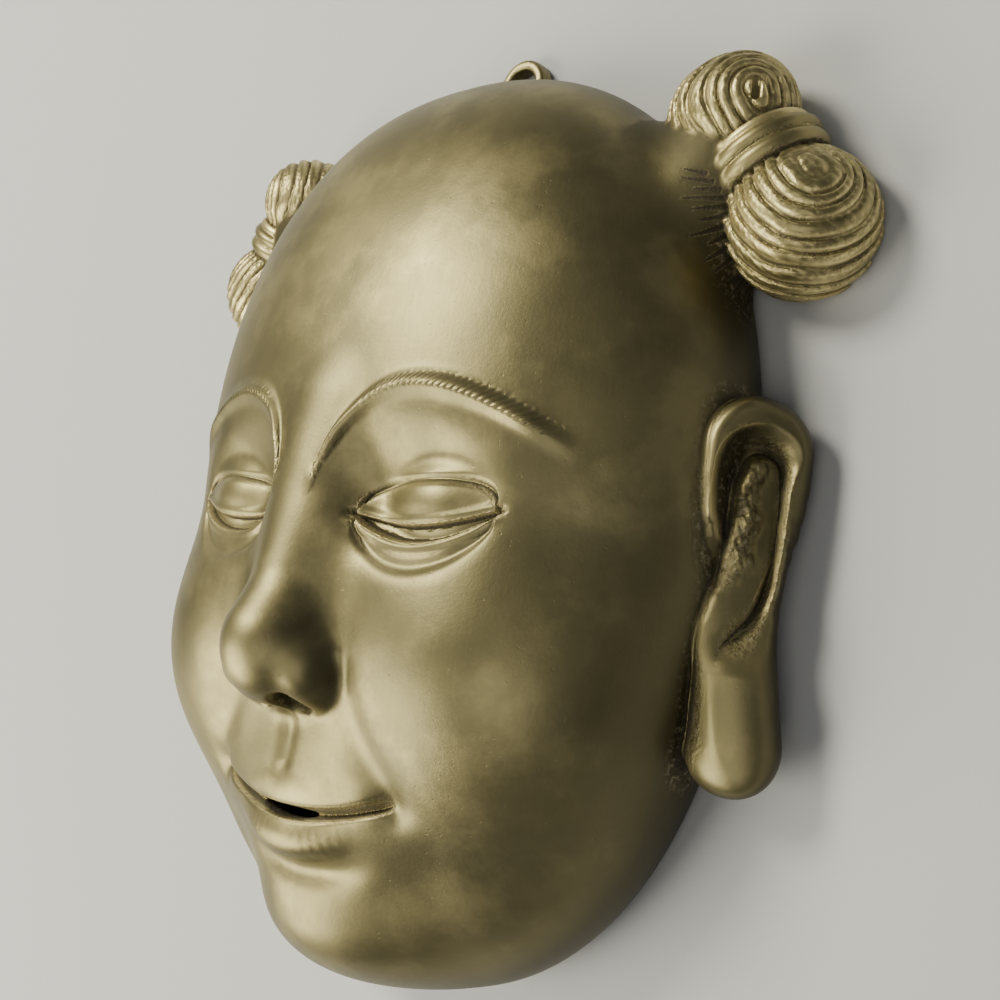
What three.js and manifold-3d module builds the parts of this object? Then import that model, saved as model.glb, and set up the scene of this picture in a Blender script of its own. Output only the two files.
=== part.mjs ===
// A cast brass wall mask: a shaven head with a calm, smiling face, long ears, two bound side
// knots of hair and a hanging ring. It is one hollow casting, open at the back.
// It lies on its back rim: x runs across the face, y to the crown and z out of the face.
// All lengths are in millimetres.

import * as THREE from 'three';
import { ParametricGeometry } from 'three/addons/geometries/ParametricGeometry.js';
import { mergeGeometries, mergeVertices } from 'three/addons/utils/BufferGeometryUtils.js';
import Module from 'manifold-3d';

const wasm = await Module();
wasm.setup();

// Driving sizes
const HEAD_LENGTH = 180;
const HEAD_WIDTH = 134;
const HEAD_DEPTH = 49.5;
const WIDEST_HEIGHT = 9;
const WALL = 3.6;
const HEAD_CENTRE_Y = -1.2;
const RING_OUTER_RADIUS = 6.2;
const RING_HOLE_RADIUS = 3.6;
const RING_THICKNESS = 4;
const RING_CENTRE_Y = 92.2;
const RING_NECK_HALF_WIDTH = 4.4;
const RING_NECK_FOOT_Y = 82.35;

// The head's outline and section are superellipses of these powers
const OUTLINE_POWER = 2.3;
const SECTION_POWER = 2.08;
const UNDERCUT_DEPTH = 34;
const CROWN_FULLNESS = 0.03;

// Face proportions: five eyes to the width, and three equal parts from hairline to chin
const HALF_WIDTH = HEAD_WIDTH / 2;
const HALF_LENGTH = HEAD_LENGTH / 2;
const EYE_WIDTH = HEAD_WIDTH / 5;
const FACE_THIRD = HEAD_LENGTH / 3.5;
const BROW_Y = HALF_LENGTH - 1.5 * FACE_THIRD;
const NOSE_BASE_Y = BROW_Y - FACE_THIRD;
const MOUTH_Y = NOSE_BASE_Y - FACE_THIRD / 3 - 1.7;
const MOUTH_HALF_WIDTH = 0.8 * EYE_WIDTH;
const MOUTH_SMILE = 4;
const MOUTH_SLOT = { halfWidth: 7.5, halfHeight: 1.1, start: 15, depth: 50 };

// Rounded masses of one half of the face, each melted into the head or carved out of it
const CHEEK = { centre: [30, -30, 25], radii: [23, 22, 20.5], blend: 16 };
const CHIN = { centre: [0, -76, 24], radii: [19, 12, 15.5], blend: 12 };
const MUZZLE = { centre: [0, -54, 30], radii: [22, 14, 15.5], blend: 12 };
const EYE_SOCKET = { centre: [EYE_WIDTH, 1.5, 54], radii: [19, 12, 11.5], blend: 7 };
const EYEBALL = { centre: [EYE_WIDTH, -1, 32.3], radii: [14.6, 11, 13.5], blend: 2.5 };
const NOSE_BRIDGE = { start: [0, 15, 41.5, 5], end: [0, -25, 50.6, 7.4], blend: 11 };
const NOSE_GROOVE = { start: [0, 8, 30, 7], end: [0, -24, 37, 9], blend: 9 };
const NOSE_TIP = { centre: [0, NOSE_BASE_Y + 9.6, 52], radii: [8.6, 9, 8.8], blend: 7 };
const NOSE_WING = { centre: [9.2, NOSE_BASE_Y + 7, 47.5], radii: [5.2, 6.2, 8], blend: 3.2 };
const NOSTRIL = { centre: [5.3, NOSE_BASE_Y + 1, 50.4], radii: [2.6, 2.4, 4.4], blend: 1.6 };
const UPPER_LIP = { rise: 3.2, bow: 1.5, height: 43.4, radius: 3.9, sag: 6.8, blend: 1.2 };
const LOWER_LIP = { rise: -4.6, bow: 0, height: 42.4, radius: 4.9, sag: 6.4, blend: 1.4 };

// Carved lines of one half of the face: places, widths and depths
const LINES_START = 14;
const LINES_FULL = 22;
const LID_LINE = { middle: -6.4, lift: 3, tilt: 0.9 };
const LID_SLIT = { halfWidth: 1.15, depth: 1.15, edge: 0.4 };
const LID_CREASE = { above: 0.6, arch: 8.4, width: 0.8, depth: 0.75 };
const LID_POUCH = { drop: 5.6, width: 1.3, depth: 0.5 };
const BROW = { start: 5.5, length: 46, foot: 2, rise: 17.5, width: 1.9, height: 1.3 };
const PARTING = { end: 24.5, depth: 2.6 };
const CORNER = { place: [23.4, -53], widths: [2.4, 3], depth: 1.9 };
const LIP_GROOVE = { halfWidth: 2.4, foot: -52, top: -37, depth: 1 };
const FOLD = { start: [14.8, -31], run: [14.5, 26], width: 3, foot: -58, top: -27, depth: 1 };
const CHIN_LINE = { y: -68, curve: 0.012, width: 2.8, depth: 1.3, end: 20 };

// Side knots: two lobes of wound hair with a band between them
const UPPER_LOBE = {
  centre: [60.5, 73.2, 10], radius: 10.4, pole: [0.77, -0.034, 0.638], stretchToHead: 1.35, rings: 11,
};
const LOWER_LOBE = {
  centre: [72.4, 52.8, 6], radius: 13.4, pole: [0.88, 0.189, 0.436], stretchToHead: 1, rings: 14,
};
const LOBE_SIDES = 16;
const LOCK_PITCH = 4.2;
const LOCK_DEPTH = 0.9;
const LOCK_ROUNDNESS = 0.8;
const BAND_PLACE = 0.56;
const BAND_RADIUS = 10.5;
const KNOT_ROOT = { centre: [56, 62, 7], radii: [12.5, 17, 12], blend: 8 };
const BAND_SIDES = 18;
const BAND_PROFILE = [
  [0, -3.6], [0.88, -3.6], [1, -2.1], [0.91, -0.7], [0.99, 0.9], [0.9, 2.4], [0.92, 3.3], [0.78, 4.2],
  [0, 4.2],
];

// The ear is a plate that leans out and down from the side of the head
const EAR_ORIGIN = new THREE.Vector3(66, 0, 17);
const EAR_ACROSS = new THREE.Vector3(0.76, 0, -0.65);
const EAR_OUTWARD = new THREE.Vector3(0.65, 0, 0.76);
const EAR_BACK = 6.6;
const EAR_SIDE_OUT = -5.6;
const EAR_BACK_TAPER = 0.1;
const EAR_THICKEST = 8;

const CAST_BRASS = { color: 0x8a7a4c, roughness: 0.42, metalness: 0.85 };

// A walk towards a surface goes this share of the distance at each step, and it ends this near to
// the surface or after this many steps
const STEP_SHARE = 0.6;
const CLOSE_ENOUGH = 0.004;
const MOST_STEPS = 90;

// Small tools for smooth forms. A form is a function that gives the distance to its surface,
// below zero inside.
const { clamp, lerp } = THREE.MathUtils;
const smoothstep = (low, high, t) => {
  const s = clamp((t - low) / (high - low), 0, 1);
  return s * s * (3 - 2 * s);
};
const fraction = (value, start, end) => clamp((value - start) / (end - start), 0, 1);
const bell = (t) => Math.exp(-t * t);

function melt(a, b, blend) {
  const h = Math.max(blend - Math.abs(a - b), 0) / blend;
  return Math.min(a, b) - (h * h * blend) / 4;
}

const carve = (a, b, blend) => -melt(-a, b, blend);

function egg(p, centre, radii) {
  const q = [0, 1, 2].map((i) => (p[i] - centre[i]) / radii[i]);
  const unit = Math.hypot(...q);
  const slope = Math.hypot(...q.map((value, i) => value / radii[i]));
  return (unit * (unit - 1)) / Math.max(slope, 1e-6);
}

const swell = (d, p, { centre, radii, blend }) => melt(d, egg(p, centre, radii), blend);
const scoop = (d, p, { centre, radii, blend }) => carve(d, egg(p, centre, radii), blend);

function rod(p, start, end) {
  const run = [0, 1, 2].map((i) => end[i] - start[i]);
  const gap = [0, 1, 2].map((i) => p[i] - start[i]);
  const along = run.reduce((sum, value, i) => sum + value * gap[i], 0);
  const t = clamp(along / run.reduce((sum, value) => sum + value * value, 0), 0, 1);
  return Math.hypot(...gap.map((value, i) => value - t * run[i])) - (start[3] + (end[3] - start[3]) * t);
}

function chain(p, beads) {
  let distance = Infinity;
  for (let i = 1; i < beads.length; i += 1) {
    distance = Math.min(distance, rod(p, beads[i - 1], beads[i]));
  }
  return distance;
}

// The head: a domed oval, tucked in a little towards its back rim
function dome([x, y, z]) {
  const up = z > WIDEST_HEIGHT;
  const depth = up ? HEAD_DEPTH - WIDEST_HEIGHT : UNDERCUT_DEPTH;
  const power = up ? SECTION_POWER : 2;
  const rise = Math.abs(z - WIDEST_HEIGHT) / depth;
  const toCrown = y - HEAD_CENTRE_Y;
  const width = HALF_WIDTH * (1 + CROWN_FULLNESS * clamp(toCrown / HALF_LENGTH, -1, 1));
  const u = Math.abs(x) / width;
  const v = Math.abs(toCrown) / HALF_LENGTH;
  const oval = u ** OUTLINE_POWER + v ** OUTLINE_POWER + 1e-9;
  const unit = Math.sqrt(oval ** (2 / OUTLINE_POWER) + rise ** power);
  const pull = oval ** (2 / OUTLINE_POWER - 1);
  const slope = Math.hypot(
    (pull * u ** (OUTLINE_POWER - 1)) / width,
    (pull * v ** (OUTLINE_POWER - 1)) / HALF_LENGTH,
    ((power / 2) * rise ** (power - 1)) / depth,
  );
  return ((unit - 1) * unit) / Math.max(slope, 1e-6);
}

// Broad masses of the head, which the hollow back follows too
function broadHead(p) {
  const q = [Math.abs(p[0]), p[1], p[2]];
  let d = dome(q);
  d = swell(d, q, CHEEK);
  d = swell(d, q, CHIN);
  d = swell(d, q, MUZZLE);
  return scoop(d, q, EYE_SOCKET);
}

// The hollow keeps the wall's thickness and has a soft groove behind the nose
function hollow(p) {
  return melt(broadHead(p) + WALL, rod(p, NOSE_GROOVE.start, NOSE_GROOVE.end), NOSE_GROOVE.blend);
}

const mouthLine = (x) => MOUTH_Y + MOUTH_SMILE * (x / MOUTH_HALF_WIDTH) ** 2.2;

// A lip is a row of beads along the mouth line, thinner and further back towards the corner
function lip(p, { rise, bow, height, radius, sag }) {
  const beads = [];
  const steps = 7;
  for (let i = 0; i <= steps; i += 1) {
    const t = i / steps;
    const x = 0.98 * MOUTH_HALF_WIDTH * t;
    const lift = (rise + bow * bell((x - 4.8) / 3.6)) * (1 - t * t);
    beads.push([x, mouthLine(x) + lift, height - sag * t * t, radius + (1.3 - radius) * t ** 1.6]);
  }
  return chain(p, beads);
}

function features(p) {
  const q = [Math.abs(p[0]), p[1], p[2]];
  let d = broadHead(q);
  d = melt(d, rod(q, NOSE_BRIDGE.start, NOSE_BRIDGE.end), NOSE_BRIDGE.blend);
  d = swell(d, q, KNOT_ROOT);
  d = swell(d, q, EYEBALL);
  d = swell(d, q, NOSE_TIP);
  d = swell(d, q, NOSE_WING);
  d = scoop(d, q, NOSTRIL);
  d = melt(d, lip(q, UPPER_LIP), UPPER_LIP.blend);
  return melt(d, lip(q, LOWER_LIP), LOWER_LIP.blend);
}

// Each carved line gives the depth to take away at a point of the face
function eyeLines(x, y) {
  const t = (x - EYE_WIDTH) / (EYE_WIDTH / 2);
  const s = clamp(t, -1.1, 1.12);
  const open = Math.sqrt(Math.max(1.12 - s * s, 0));
  const fromLid = y - (LID_LINE.middle + LID_LINE.lift * s * s + LID_LINE.tilt * s);
  const half = LID_SLIT.halfWidth * open;
  const slit = LID_SLIT.depth * smoothstep(half + LID_SLIT.edge, half - LID_SLIT.edge, Math.abs(fromLid));
  const fromCrease = fromLid - LID_CREASE.arch * open - LID_CREASE.above;
  const crease = LID_CREASE.depth * bell(fromCrease / LID_CREASE.width);
  const pouch = LID_POUCH.depth * bell((fromLid + LID_POUCH.drop * open) / LID_POUCH.width);
  return (slit + crease + pouch) * smoothstep(1.22, 1.02, Math.abs(t));
}

function browLine(x, y) {
  const t = fraction(x, BROW.start, BROW.start + BROW.length);
  const arch = BROW.foot + BROW.rise * Math.sin(Math.PI * 0.86 * t ** 0.62);
  const ends = smoothstep(BROW.start - 2.5, BROW.start + 3.5, x) * smoothstep(54, 42, x);
  return -BROW.height * bell((y - arch) / BROW.width) * ends;
}

function mouthLines(x, y) {
  const fromParting = y - mouthLine(Math.min(x, PARTING.end));
  const parting = PARTING.depth * bell(fromParting) * smoothstep(PARTING.end, PARTING.end - 4, x);
  const fromCorner = [x, y].map((value, i) => (value - CORNER.place[i]) / CORNER.widths[i]);
  const corner = CORNER.depth * bell(Math.hypot(...fromCorner));
  const grooveEnds = smoothstep(LIP_GROOVE.foot, LIP_GROOVE.foot + 4, y)
    * smoothstep(LIP_GROOVE.top, LIP_GROOVE.top - 7, y);
  const groove = LIP_GROOVE.depth * bell(x / LIP_GROOVE.halfWidth) * grooveEnds;
  const foldX = FOLD.start[0] + FOLD.run[0] * clamp((FOLD.start[1] - y) / FOLD.run[1], 0, 1.1) ** 1.5;
  const foldEnds = smoothstep(FOLD.foot, FOLD.foot + 12, y) * smoothstep(FOLD.top, FOLD.top - 6, y);
  const fold = FOLD.depth * bell((x - foldX) / FOLD.width) * foldEnds;
  const fromChin = (y - CHIN_LINE.y - CHIN_LINE.curve * x * x) / CHIN_LINE.width;
  const chin = CHIN_LINE.depth * bell(fromChin) * smoothstep(CHIN_LINE.end, CHIN_LINE.end - 14, x);
  return parting + corner + groove + fold + chin;
}

function head(p) {
  const x = Math.abs(p[0]);
  const lines = eyeLines(x, p[1]) + browLine(x, p[1]) + mouthLines(x, p[1]);
  return features(p) + lines * smoothstep(LINES_START, LINES_FULL, p[2]);
}

// Rows of places across and along the ear's plate, each with a radius
const EAR_OUTLINE = [
  [7.6, 12.6, 9.6], [7.4, 4.5, 9.2], [8.2, -7.5, 6], [6.4, -18, 7.2], [6.6, -28, 8], [7.4, -36.2, 8.4],
];
const EAR_HOLLOW = [[8.6, 8.4, 4.6], [8, 2, 4.5], [7.4, -5, 3.6], [6.8, -12, 2.4], [5, -17.5, 1]];

// The ridge in the ear's hollow, with its height; it runs on into the lobe's front edge
const EAR_RIDGE = [
  [9.4, 8, -1], [8.3, 2.5, -0.8], [6.9, -3, -0.3], [5.2, -8.5, 0.5], [2.8, -13.5, 1], [1, -19, 0.8],
  [1, -26, 0.3],
];

// The line that the ear's mesh is built round: over its ridge and along its lobe's crest
const EAR_SPINE = [[7.6, 22.2], ...EAR_RIDGE, [4.5, -40], [7.4, -44.6]];

// The ear's thick back is a rod: places across, along and out of the plate, and a radius
const EAR_ROD = { start: [6.8, -34, -8.5, 5], end: [7.6, 9, -9.4, 5] };

// The hollow's slopes are crisp in front and rolled behind, and its floor rises to the lobe
const HOLLOW_FLOOR = { depth: 4.4, lobeEnd: -22, fullDepth: -8 };
const CRISP_SLOPE = { width: 4.4, power: 1.3 };
const ROLLED_SLOPE = { width: 2.2, power: 1.7 };
const EAR_FRONT_END = 4;
const EAR_REAR_START = 11;
const RIDGE_SHARPNESS = 0.3;
const LOBE_START = -19;
const LOBE_FULL = -25;
const LOBE_CREST = { across: 1.4, from: -22, lean: 0.17, height: 0.9, fallBehind: 0.09, fallInFront: 0.45 };
const EAR_ROUNDING = { depth: 1.5, width: 4.5 };
const EAR_BLENDS = { ridge: 0.9, front: 1.6, back: 3 };
const FRONT_STEEPNESS = 0.7;

// Distance to a row's line in the plate, and the row's own number at the nearest place. Here and
// below, s runs across the plate and t along it.
function nearestInRow(s, t, rows) {
  let nearest = { away: Infinity, number: 0 };
  for (let i = 1; i < rows.length; i += 1) {
    const [startS, startT, startNumber] = rows[i - 1];
    const [endS, endT, endNumber] = rows[i];
    const runS = endS - startS;
    const runT = endT - startT;
    const along = clamp(((s - startS) * runS + (t - startT) * runT) / (runS ** 2 + runT ** 2), 0, 1);
    const away = Math.hypot(s - startS - along * runS, t - startT - along * runT);
    const number = startNumber + (endNumber - startNumber) * along;
    if (away - number < nearest.away - nearest.number) {
      nearest = { away, number };
    }
  }
  return nearest;
}

function outsideRow(s, t, rows) {
  const { away, number } = nearestInRow(s, t, rows);
  return away - number;
}

function lobeHeight(s, t) {
  const behind = s - (LOBE_CREST.across + LOBE_CREST.lean * (LOBE_CREST.from - t));
  const fall = behind > 0 ? LOBE_CREST.fallBehind * behind : -LOBE_CREST.fallInFront * behind;
  return LOBE_CREST.height - fall;
}

// How far the ear's carved front stands out of its plate
function earHeight(s, t) {
  const rear = smoothstep(EAR_FRONT_END, EAR_REAR_START, s);
  const rise = Math.max(outsideRow(s, t, EAR_HOLLOW), 0);
  const ramp = Math.min(rise / lerp(CRISP_SLOPE.width, ROLLED_SLOPE.width, rear), 1);
  const slope = lerp(1 - ramp ** CRISP_SLOPE.power, (1 - ramp) ** ROLLED_SLOPE.power, rear);
  const floor = -HOLLOW_FLOOR.depth * smoothstep(HOLLOW_FLOOR.lobeEnd, HOLLOW_FLOOR.fullDepth, t);
  const ridge = nearestInRow(s, t, EAR_RIDGE);
  const ridgeHeight = ridge.number - RIDGE_SHARPNESS * ridge.away ** 2;
  const upper = carve(floor * slope, -ridgeHeight, EAR_BLENDS.ridge);
  const lobe = smoothstep(LOBE_START, LOBE_FULL, t);
  const inEdge = clamp(1 + outsideRow(s, t, EAR_OUTLINE) / EAR_ROUNDING.width, 0, 1);
  return lerp(upper, lobeHeight(s, t), lobe) - EAR_ROUNDING.depth * inEdge ** 2 * Math.max(rear, lobe);
}

// The ear's plate, in its own places: across, along and out
function earPlate([across, along, out]) {
  const toFront = FRONT_STEEPNESS * (out - earHeight(across, along));
  const sides = carve(outsideRow(across, along, EAR_OUTLINE), -toFront, EAR_BLENDS.front);
  return carve(sides, out + EAR_BACK, EAR_BLENDS.back);
}

// Where a ray from inside a form last meets its surface, walked inwards from outside it
function surfacePoint(form, origin, direction, reach) {
  const at = (distance) => origin.map((value, axis) => value + direction[axis] * distance);
  let distance = reach;
  for (let i = 0; i < MOST_STEPS; i += 1) {
    const gap = form(at(distance));
    distance = Math.max(distance - STEP_SHARE * gap, 0);
    if (Math.abs(gap) < CLOSE_ENOUGH) {
      break;
    }
  }
  return at(distance);
}

// Grid lines from stops of [place, steps from the stop before]
function gridLines(stops) {
  const lines = [stops[0][0]];
  for (let i = 1; i < stops.length; i += 1) {
    const [end, steps] = stops[i];
    const start = stops[i - 1][0];
    for (let j = 1; j <= steps; j += 1) {
      lines.push(start + ((end - start) * j) / steps);
    }
  }
  return lines;
}

// A square grid bent to a disc and then placed, with the points round its rim
function roundedGrid(across, along, placeOnDisc) {
  const steps = [across.length - 1, along.length - 1];
  const place = (u, v, target) => {
    const a = across[Math.round(u * steps[0])];
    const b = along[Math.round(v * steps[1])];
    return target.fromArray(placeOnDisc(a * Math.sqrt(1 - (b * b) / 2), b * Math.sqrt(1 - (a * a) / 2)));
  };
  const rim = [];
  const addSide = (count, parameters) => {
    for (let i = 0; i < count; i += 1) {
      rim.push(place(...parameters(i / count), new THREE.Vector3()));
    }
  };
  addSide(steps[0], (t) => [t, 0]);
  addSide(steps[1], (t) => [1, t]);
  addSide(steps[0], (t) => [1 - t, 1]);
  addSide(steps[1], (t) => [0, 1 - t]);
  return { shell: new ParametricGeometry(place, ...steps), rim };
}

function flatCap(rim, height) {
  const cap = new THREE.ShapeGeometry(new THREE.Shape(rim.map((p) => new THREE.Vector2(p.x, p.y))));
  return turnedOver(cap.translate(0, 0, height));
}

// A domed form over a flat base
function domedGeometry(form, baseHeight, across, along) {
  const origin = [0, HEAD_CENTRE_Y, baseHeight];
  const { shell, rim } = roundedGrid(across, along, (x, y) => {
    const turn = Math.atan2(y, x);
    const reach = Math.min(Math.hypot(x, y), 1);
    const tilt = (reach * Math.PI) / 2;
    const onRim = reach > 1 - 1e-9;
    const direction = new THREE.Vector3(
      HALF_WIDTH * Math.sin(tilt) * Math.cos(turn),
      HALF_LENGTH * Math.sin(tilt) * Math.sin(turn),
      onRim ? 0 : HEAD_DEPTH * Math.cos(tilt),
    ).normalize();
    return surfacePoint(form, origin, direction.toArray(), 2 * HALF_LENGTH);
  });
  return joinedSurface([shell, flatCap(rim, baseHeight)]);
}

function turnedOver(geometry) {
  const index = geometry.index.array;
  for (let i = 0; i < index.length; i += 3) {
    [index[i], index[i + 1]] = [index[i + 1], index[i]];
  }
  return geometry;
}

// One surface of shared vertices, without the flat triangles at its poles
function joinedSurface(geometries) {
  const bare = geometries.map((geometry) => {
    const copy = geometry.clone();
    copy.deleteAttribute('normal');
    copy.deleteAttribute('uv');
    return copy;
  });
  const merged = mergeVertices(mergeGeometries(bare), 1e-3);
  const index = [];
  for (let i = 0; i < merged.index.count; i += 3) {
    const [a, b, c] = [0, 1, 2].map((j) => merged.index.getX(i + j));
    if (a !== b && b !== c && c !== a) {
      index.push(a, b, c);
    }
  }
  merged.setIndex(index);
  return merged;
}

function toSolid(geometry) {
  const position = geometry.attributes.position.array;
  const triVerts = new Uint32Array(geometry.index.array);
  return new wasm.Manifold(new wasm.Mesh({ numProp: 3, vertProperties: position, triVerts }));
}

function mirrored(geometry) {
  return turnedOver(geometry.clone().scale(-1, 1, 1));
}

// Hair is wound in loops: each lock keeps one distance from a line that runs from the lobe's
// pole towards the band
function lockDepth(point, pole, towardsBand) {
  const gap = point.clone().sub(pole);
  const along = Math.max(gap.dot(towardsBand), 0);
  const distance = gap.addScaledVector(towardsBand, -along).length();
  return LOCK_DEPTH * (1 - Math.abs(Math.sin((Math.PI * distance) / LOCK_PITCH)) ** LOCK_ROUNDNESS);
}

function lobeGeometry(lobe, other) {
  const centre = new THREE.Vector3(...lobe.centre);
  const axis = new THREE.Vector3(...lobe.pole).normalize();
  const pole = centre.clone().addScaledVector(axis, lobe.radius);
  const towardsBand = new THREE.Vector3(...other.centre).sub(centre).normalize();
  const toAxis = new THREE.Quaternion().setFromUnitVectors(new THREE.Vector3(0, 0, 1), axis);
  const rings = gridLines([[0, 0], [0.64, lobe.rings], [1, 3]]);
  const place = (u, v, target) => {
    const polar = Math.PI * rings[Math.round(v * (rings.length - 1))];
    const turn = 2 * Math.PI * u;
    target.set(Math.sin(polar) * Math.cos(turn), Math.sin(polar) * Math.sin(turn), Math.cos(polar));
    target.applyQuaternion(toAxis);
    const skin = centre.clone().addScaledVector(target, lobe.radius);
    const depth = lockDepth(skin, pole, towardsBand);
    target.multiplyScalar(lobe.radius - depth);
    if (target.x < 0) {
      target.x *= lobe.stretchToHead;
    }
    return target.add(centre);
  };
  return joinedSurface([turnedOver(new ParametricGeometry(place, LOBE_SIDES, rings.length - 1))]);
}

// The band is a turned disc with three rounded cords round its edge
function bandGeometry() {
  const start = new THREE.Vector3(...LOWER_LOBE.centre);
  const end = new THREE.Vector3(...UPPER_LOBE.centre);
  const axis = end.clone().sub(start).normalize();
  const centre = start.clone().lerp(end, BAND_PLACE);
  const profile = BAND_PROFILE.map(([radius, height]) => new THREE.Vector2(BAND_RADIUS * radius, height));
  const disc = new THREE.LatheGeometry(profile, BAND_SIDES);
  disc.applyQuaternion(new THREE.Quaternion().setFromUnitVectors(new THREE.Vector3(0, 1, 0), axis));
  disc.translate(centre.x, centre.y, centre.z);
  return joinedSurface([disc]);
}

function acrossSpine(along) {
  const next = EAR_SPINE.findIndex(([, place]) => place <= along);
  const [end, start] = [EAR_SPINE[next], EAR_SPINE[Math.max(next - 1, 0)]];
  return lerp(end[0], start[0], fraction(along, end[1], start[1] + CLOSE_ENOUGH));
}

// How far across the ear's outline lies on one side of its middle
function earEdge(along, middle, side) {
  let inner = 0;
  let outer = 20;
  while (outer - inner > CLOSE_ENOUGH) {
    const reach = (inner + outer) / 2;
    const outside = outsideRow(middle + side * reach, along, EAR_OUTLINE) > 0;
    [inner, outer] = outside ? [inner, reach] : [reach, outer];
  }
  return middle + side * inner;
}

// The ear is a plate with a carved front, read outwards from a level inside the plate
function earPlateGeometry() {
  const top = EAR_SPINE[0][1];
  const bottom = EAR_SPINE[EAR_SPINE.length - 1][1];
  const { shell, rim } = roundedGrid(earAcross, earAlong, (x, y) => {
    const along = lerp(bottom, top, (1 + y) / 2);
    const middle = acrossSpine(along);
    const width = Math.sqrt(Math.max(1 - y * y, 0));
    const share = width > 0 ? clamp(x / width, -1, 1) : 0;
    const across = lerp(middle, earEdge(along, middle, Math.sign(share)), Math.abs(share));
    const start = [across, along, EAR_SIDE_OUT];
    return Math.hypot(x, y) > 1 - 1e-9 ? start : surfacePoint(earPlate, start, [0, 0, 1], EAR_THICKEST);
  });
  const middle = new THREE.Vector3(EAR_SPINE[0][0], (top + bottom) / 2, -EAR_BACK);
  const back = rim.map((p) => new THREE.Vector3(p.x, p.y, -EAR_BACK).lerp(middle, EAR_BACK_TAPER));
  const side = new ParametricGeometry((u, v, target) => (
    target.copy([back, rim][Math.round(v)][Math.round(u * rim.length) % rim.length])
  ), rim.length, 1);
  return joinedSurface([shell, side, flatCap(back, -EAR_BACK)]);
}

// The rod behind the ear's plate joins it to the head
function earRodGeometry() {
  const [start, end] = [EAR_ROD.start, EAR_ROD.end].map((row) => new THREE.Vector3(...row));
  const lean = end.clone().sub(start);
  const rodShape = new THREE.CapsuleGeometry(EAR_ROD.start[3], lean.length(), 2, 8);
  const upright = new THREE.Vector3(0, 1, 0);
  rodShape.applyQuaternion(new THREE.Quaternion().setFromUnitVectors(upright, lean.normalize()));
  rodShape.translate(...start.lerp(end, 0.5).toArray());
  return joinedSurface([rodShape]);
}

function placedOnHead(geometry) {
  const toHead = new THREE.Matrix4().makeBasis(EAR_ACROSS, new THREE.Vector3(0, 1, 0), EAR_OUTWARD);
  return geometry.applyMatrix4(toHead.setPosition(EAR_ORIGIN));
}

// The hanging ring is a flat eye on a short neck that runs into the rim
function ringGeometry() {
  const neckAngle = Math.asin(RING_NECK_HALF_WIDTH / RING_OUTER_RADIUS);
  const outline = new THREE.Shape();
  outline.moveTo(-RING_NECK_HALF_WIDTH, RING_NECK_FOOT_Y);
  outline.lineTo(RING_NECK_HALF_WIDTH, RING_NECK_FOOT_Y);
  outline.absarc(0, RING_CENTRE_Y, RING_OUTER_RADIUS, neckAngle - Math.PI / 2, 1.5 * Math.PI - neckAngle);
  outline.closePath();
  outline.holes.push(new THREE.Path().absarc(0, RING_CENTRE_Y, RING_HOLE_RADIUS, 0, 2 * Math.PI, true));
  return joinedSurface([
    new THREE.ExtrudeGeometry(outline, { depth: RING_THICKNESS, bevelEnabled: false, curveSegments: 9 }),
  ]);
}

// The casting is pierced between the lips
function mouthSlotGeometry() {
  const { halfWidth, halfHeight, start, depth } = MOUTH_SLOT;
  const upper = [];
  const lower = [];
  for (let i = 0; i <= 8; i += 1) {
    const x = halfWidth * (i / 4 - 1);
    const open = halfHeight * Math.sqrt(1 - 0.9 * (x / halfWidth) ** 2);
    upper.unshift(new THREE.Vector2(x, mouthLine(Math.abs(x)) + open));
    lower.push(new THREE.Vector2(x, mouthLine(Math.abs(x)) - open));
  }
  const outline = new THREE.Shape([...lower, ...upper]);
  const slot = new THREE.ExtrudeGeometry(outline, { depth, bevelEnabled: false });
  slot.translate(0, 0, start);
  return joinedSurface([slot]);
}

// Join the casting and cut its hollow
const headAcross = gridLines([[-1, 0], [-0.44, 5], [-0.12, 10], [0.12, 9], [0.44, 10], [1, 5]]);
const headAlong = gridLines([
  [-1, 0], [-0.54, 6], [-0.33, 12], [-0.27, 5], [-0.08, 6], [0.06, 11], [0.18, 5], [1, 10],
]);
const earAcross = gridLines([[-1, 0], [-0.93, 1], [0, 5], [0.93, 5], [1, 1]]);
const earAlong = gridLines([[-1, 0], [-0.97, 1], [-0.4, 3], [0.1, 5], [0.97, 10], [1, 1]]);
const hollowAcross = gridLines([[-1, 0], [-0.3, 5], [0.3, 8], [1, 5]]);
const hollowAlong = gridLines([[-1, 0], [-0.5, 4], [0.25, 8], [1, 5]]);

let casting = toSolid(domedGeometry(head, 0, headAcross, headAlong));
const knot = [lobeGeometry(UPPER_LOBE, LOWER_LOBE), lobeGeometry(LOWER_LOBE, UPPER_LOBE), bandGeometry()];
const ear = [earPlateGeometry(), earRodGeometry()].map(placedOnHead);
for (const piece of [...knot, ...ear]) {
  casting = casting.add(toSolid(piece)).add(toSolid(mirrored(piece)));
}
casting = casting.add(toSolid(ringGeometry()));
casting = casting.subtract(toSolid(domedGeometry(hollow, -2, hollowAcross, hollowAlong)));
casting = casting.subtract(toSolid(mouthSlotGeometry()));
const block = new THREE.BoxGeometry(4 * HEAD_WIDTH, 4 * HEAD_LENGTH, HEAD_DEPTH);
block.translate(0, 0, -HEAD_DEPTH / 2);
casting = casting.subtract(toSolid(joinedSurface([block])));

function toGeometry(solid) {
  const { vertProperties, triVerts } = solid.getMesh();
  const geometry = new THREE.BufferGeometry();
  geometry.setAttribute('position', new THREE.BufferAttribute(vertProperties, 3));
  geometry.setIndex(new THREE.BufferAttribute(triVerts, 1));
  geometry.computeVertexNormals();
  return geometry;
}

const mask = new THREE.Mesh(toGeometry(casting), new THREE.MeshStandardMaterial(CAST_BRASS));
mask.name = 'mask';

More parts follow.
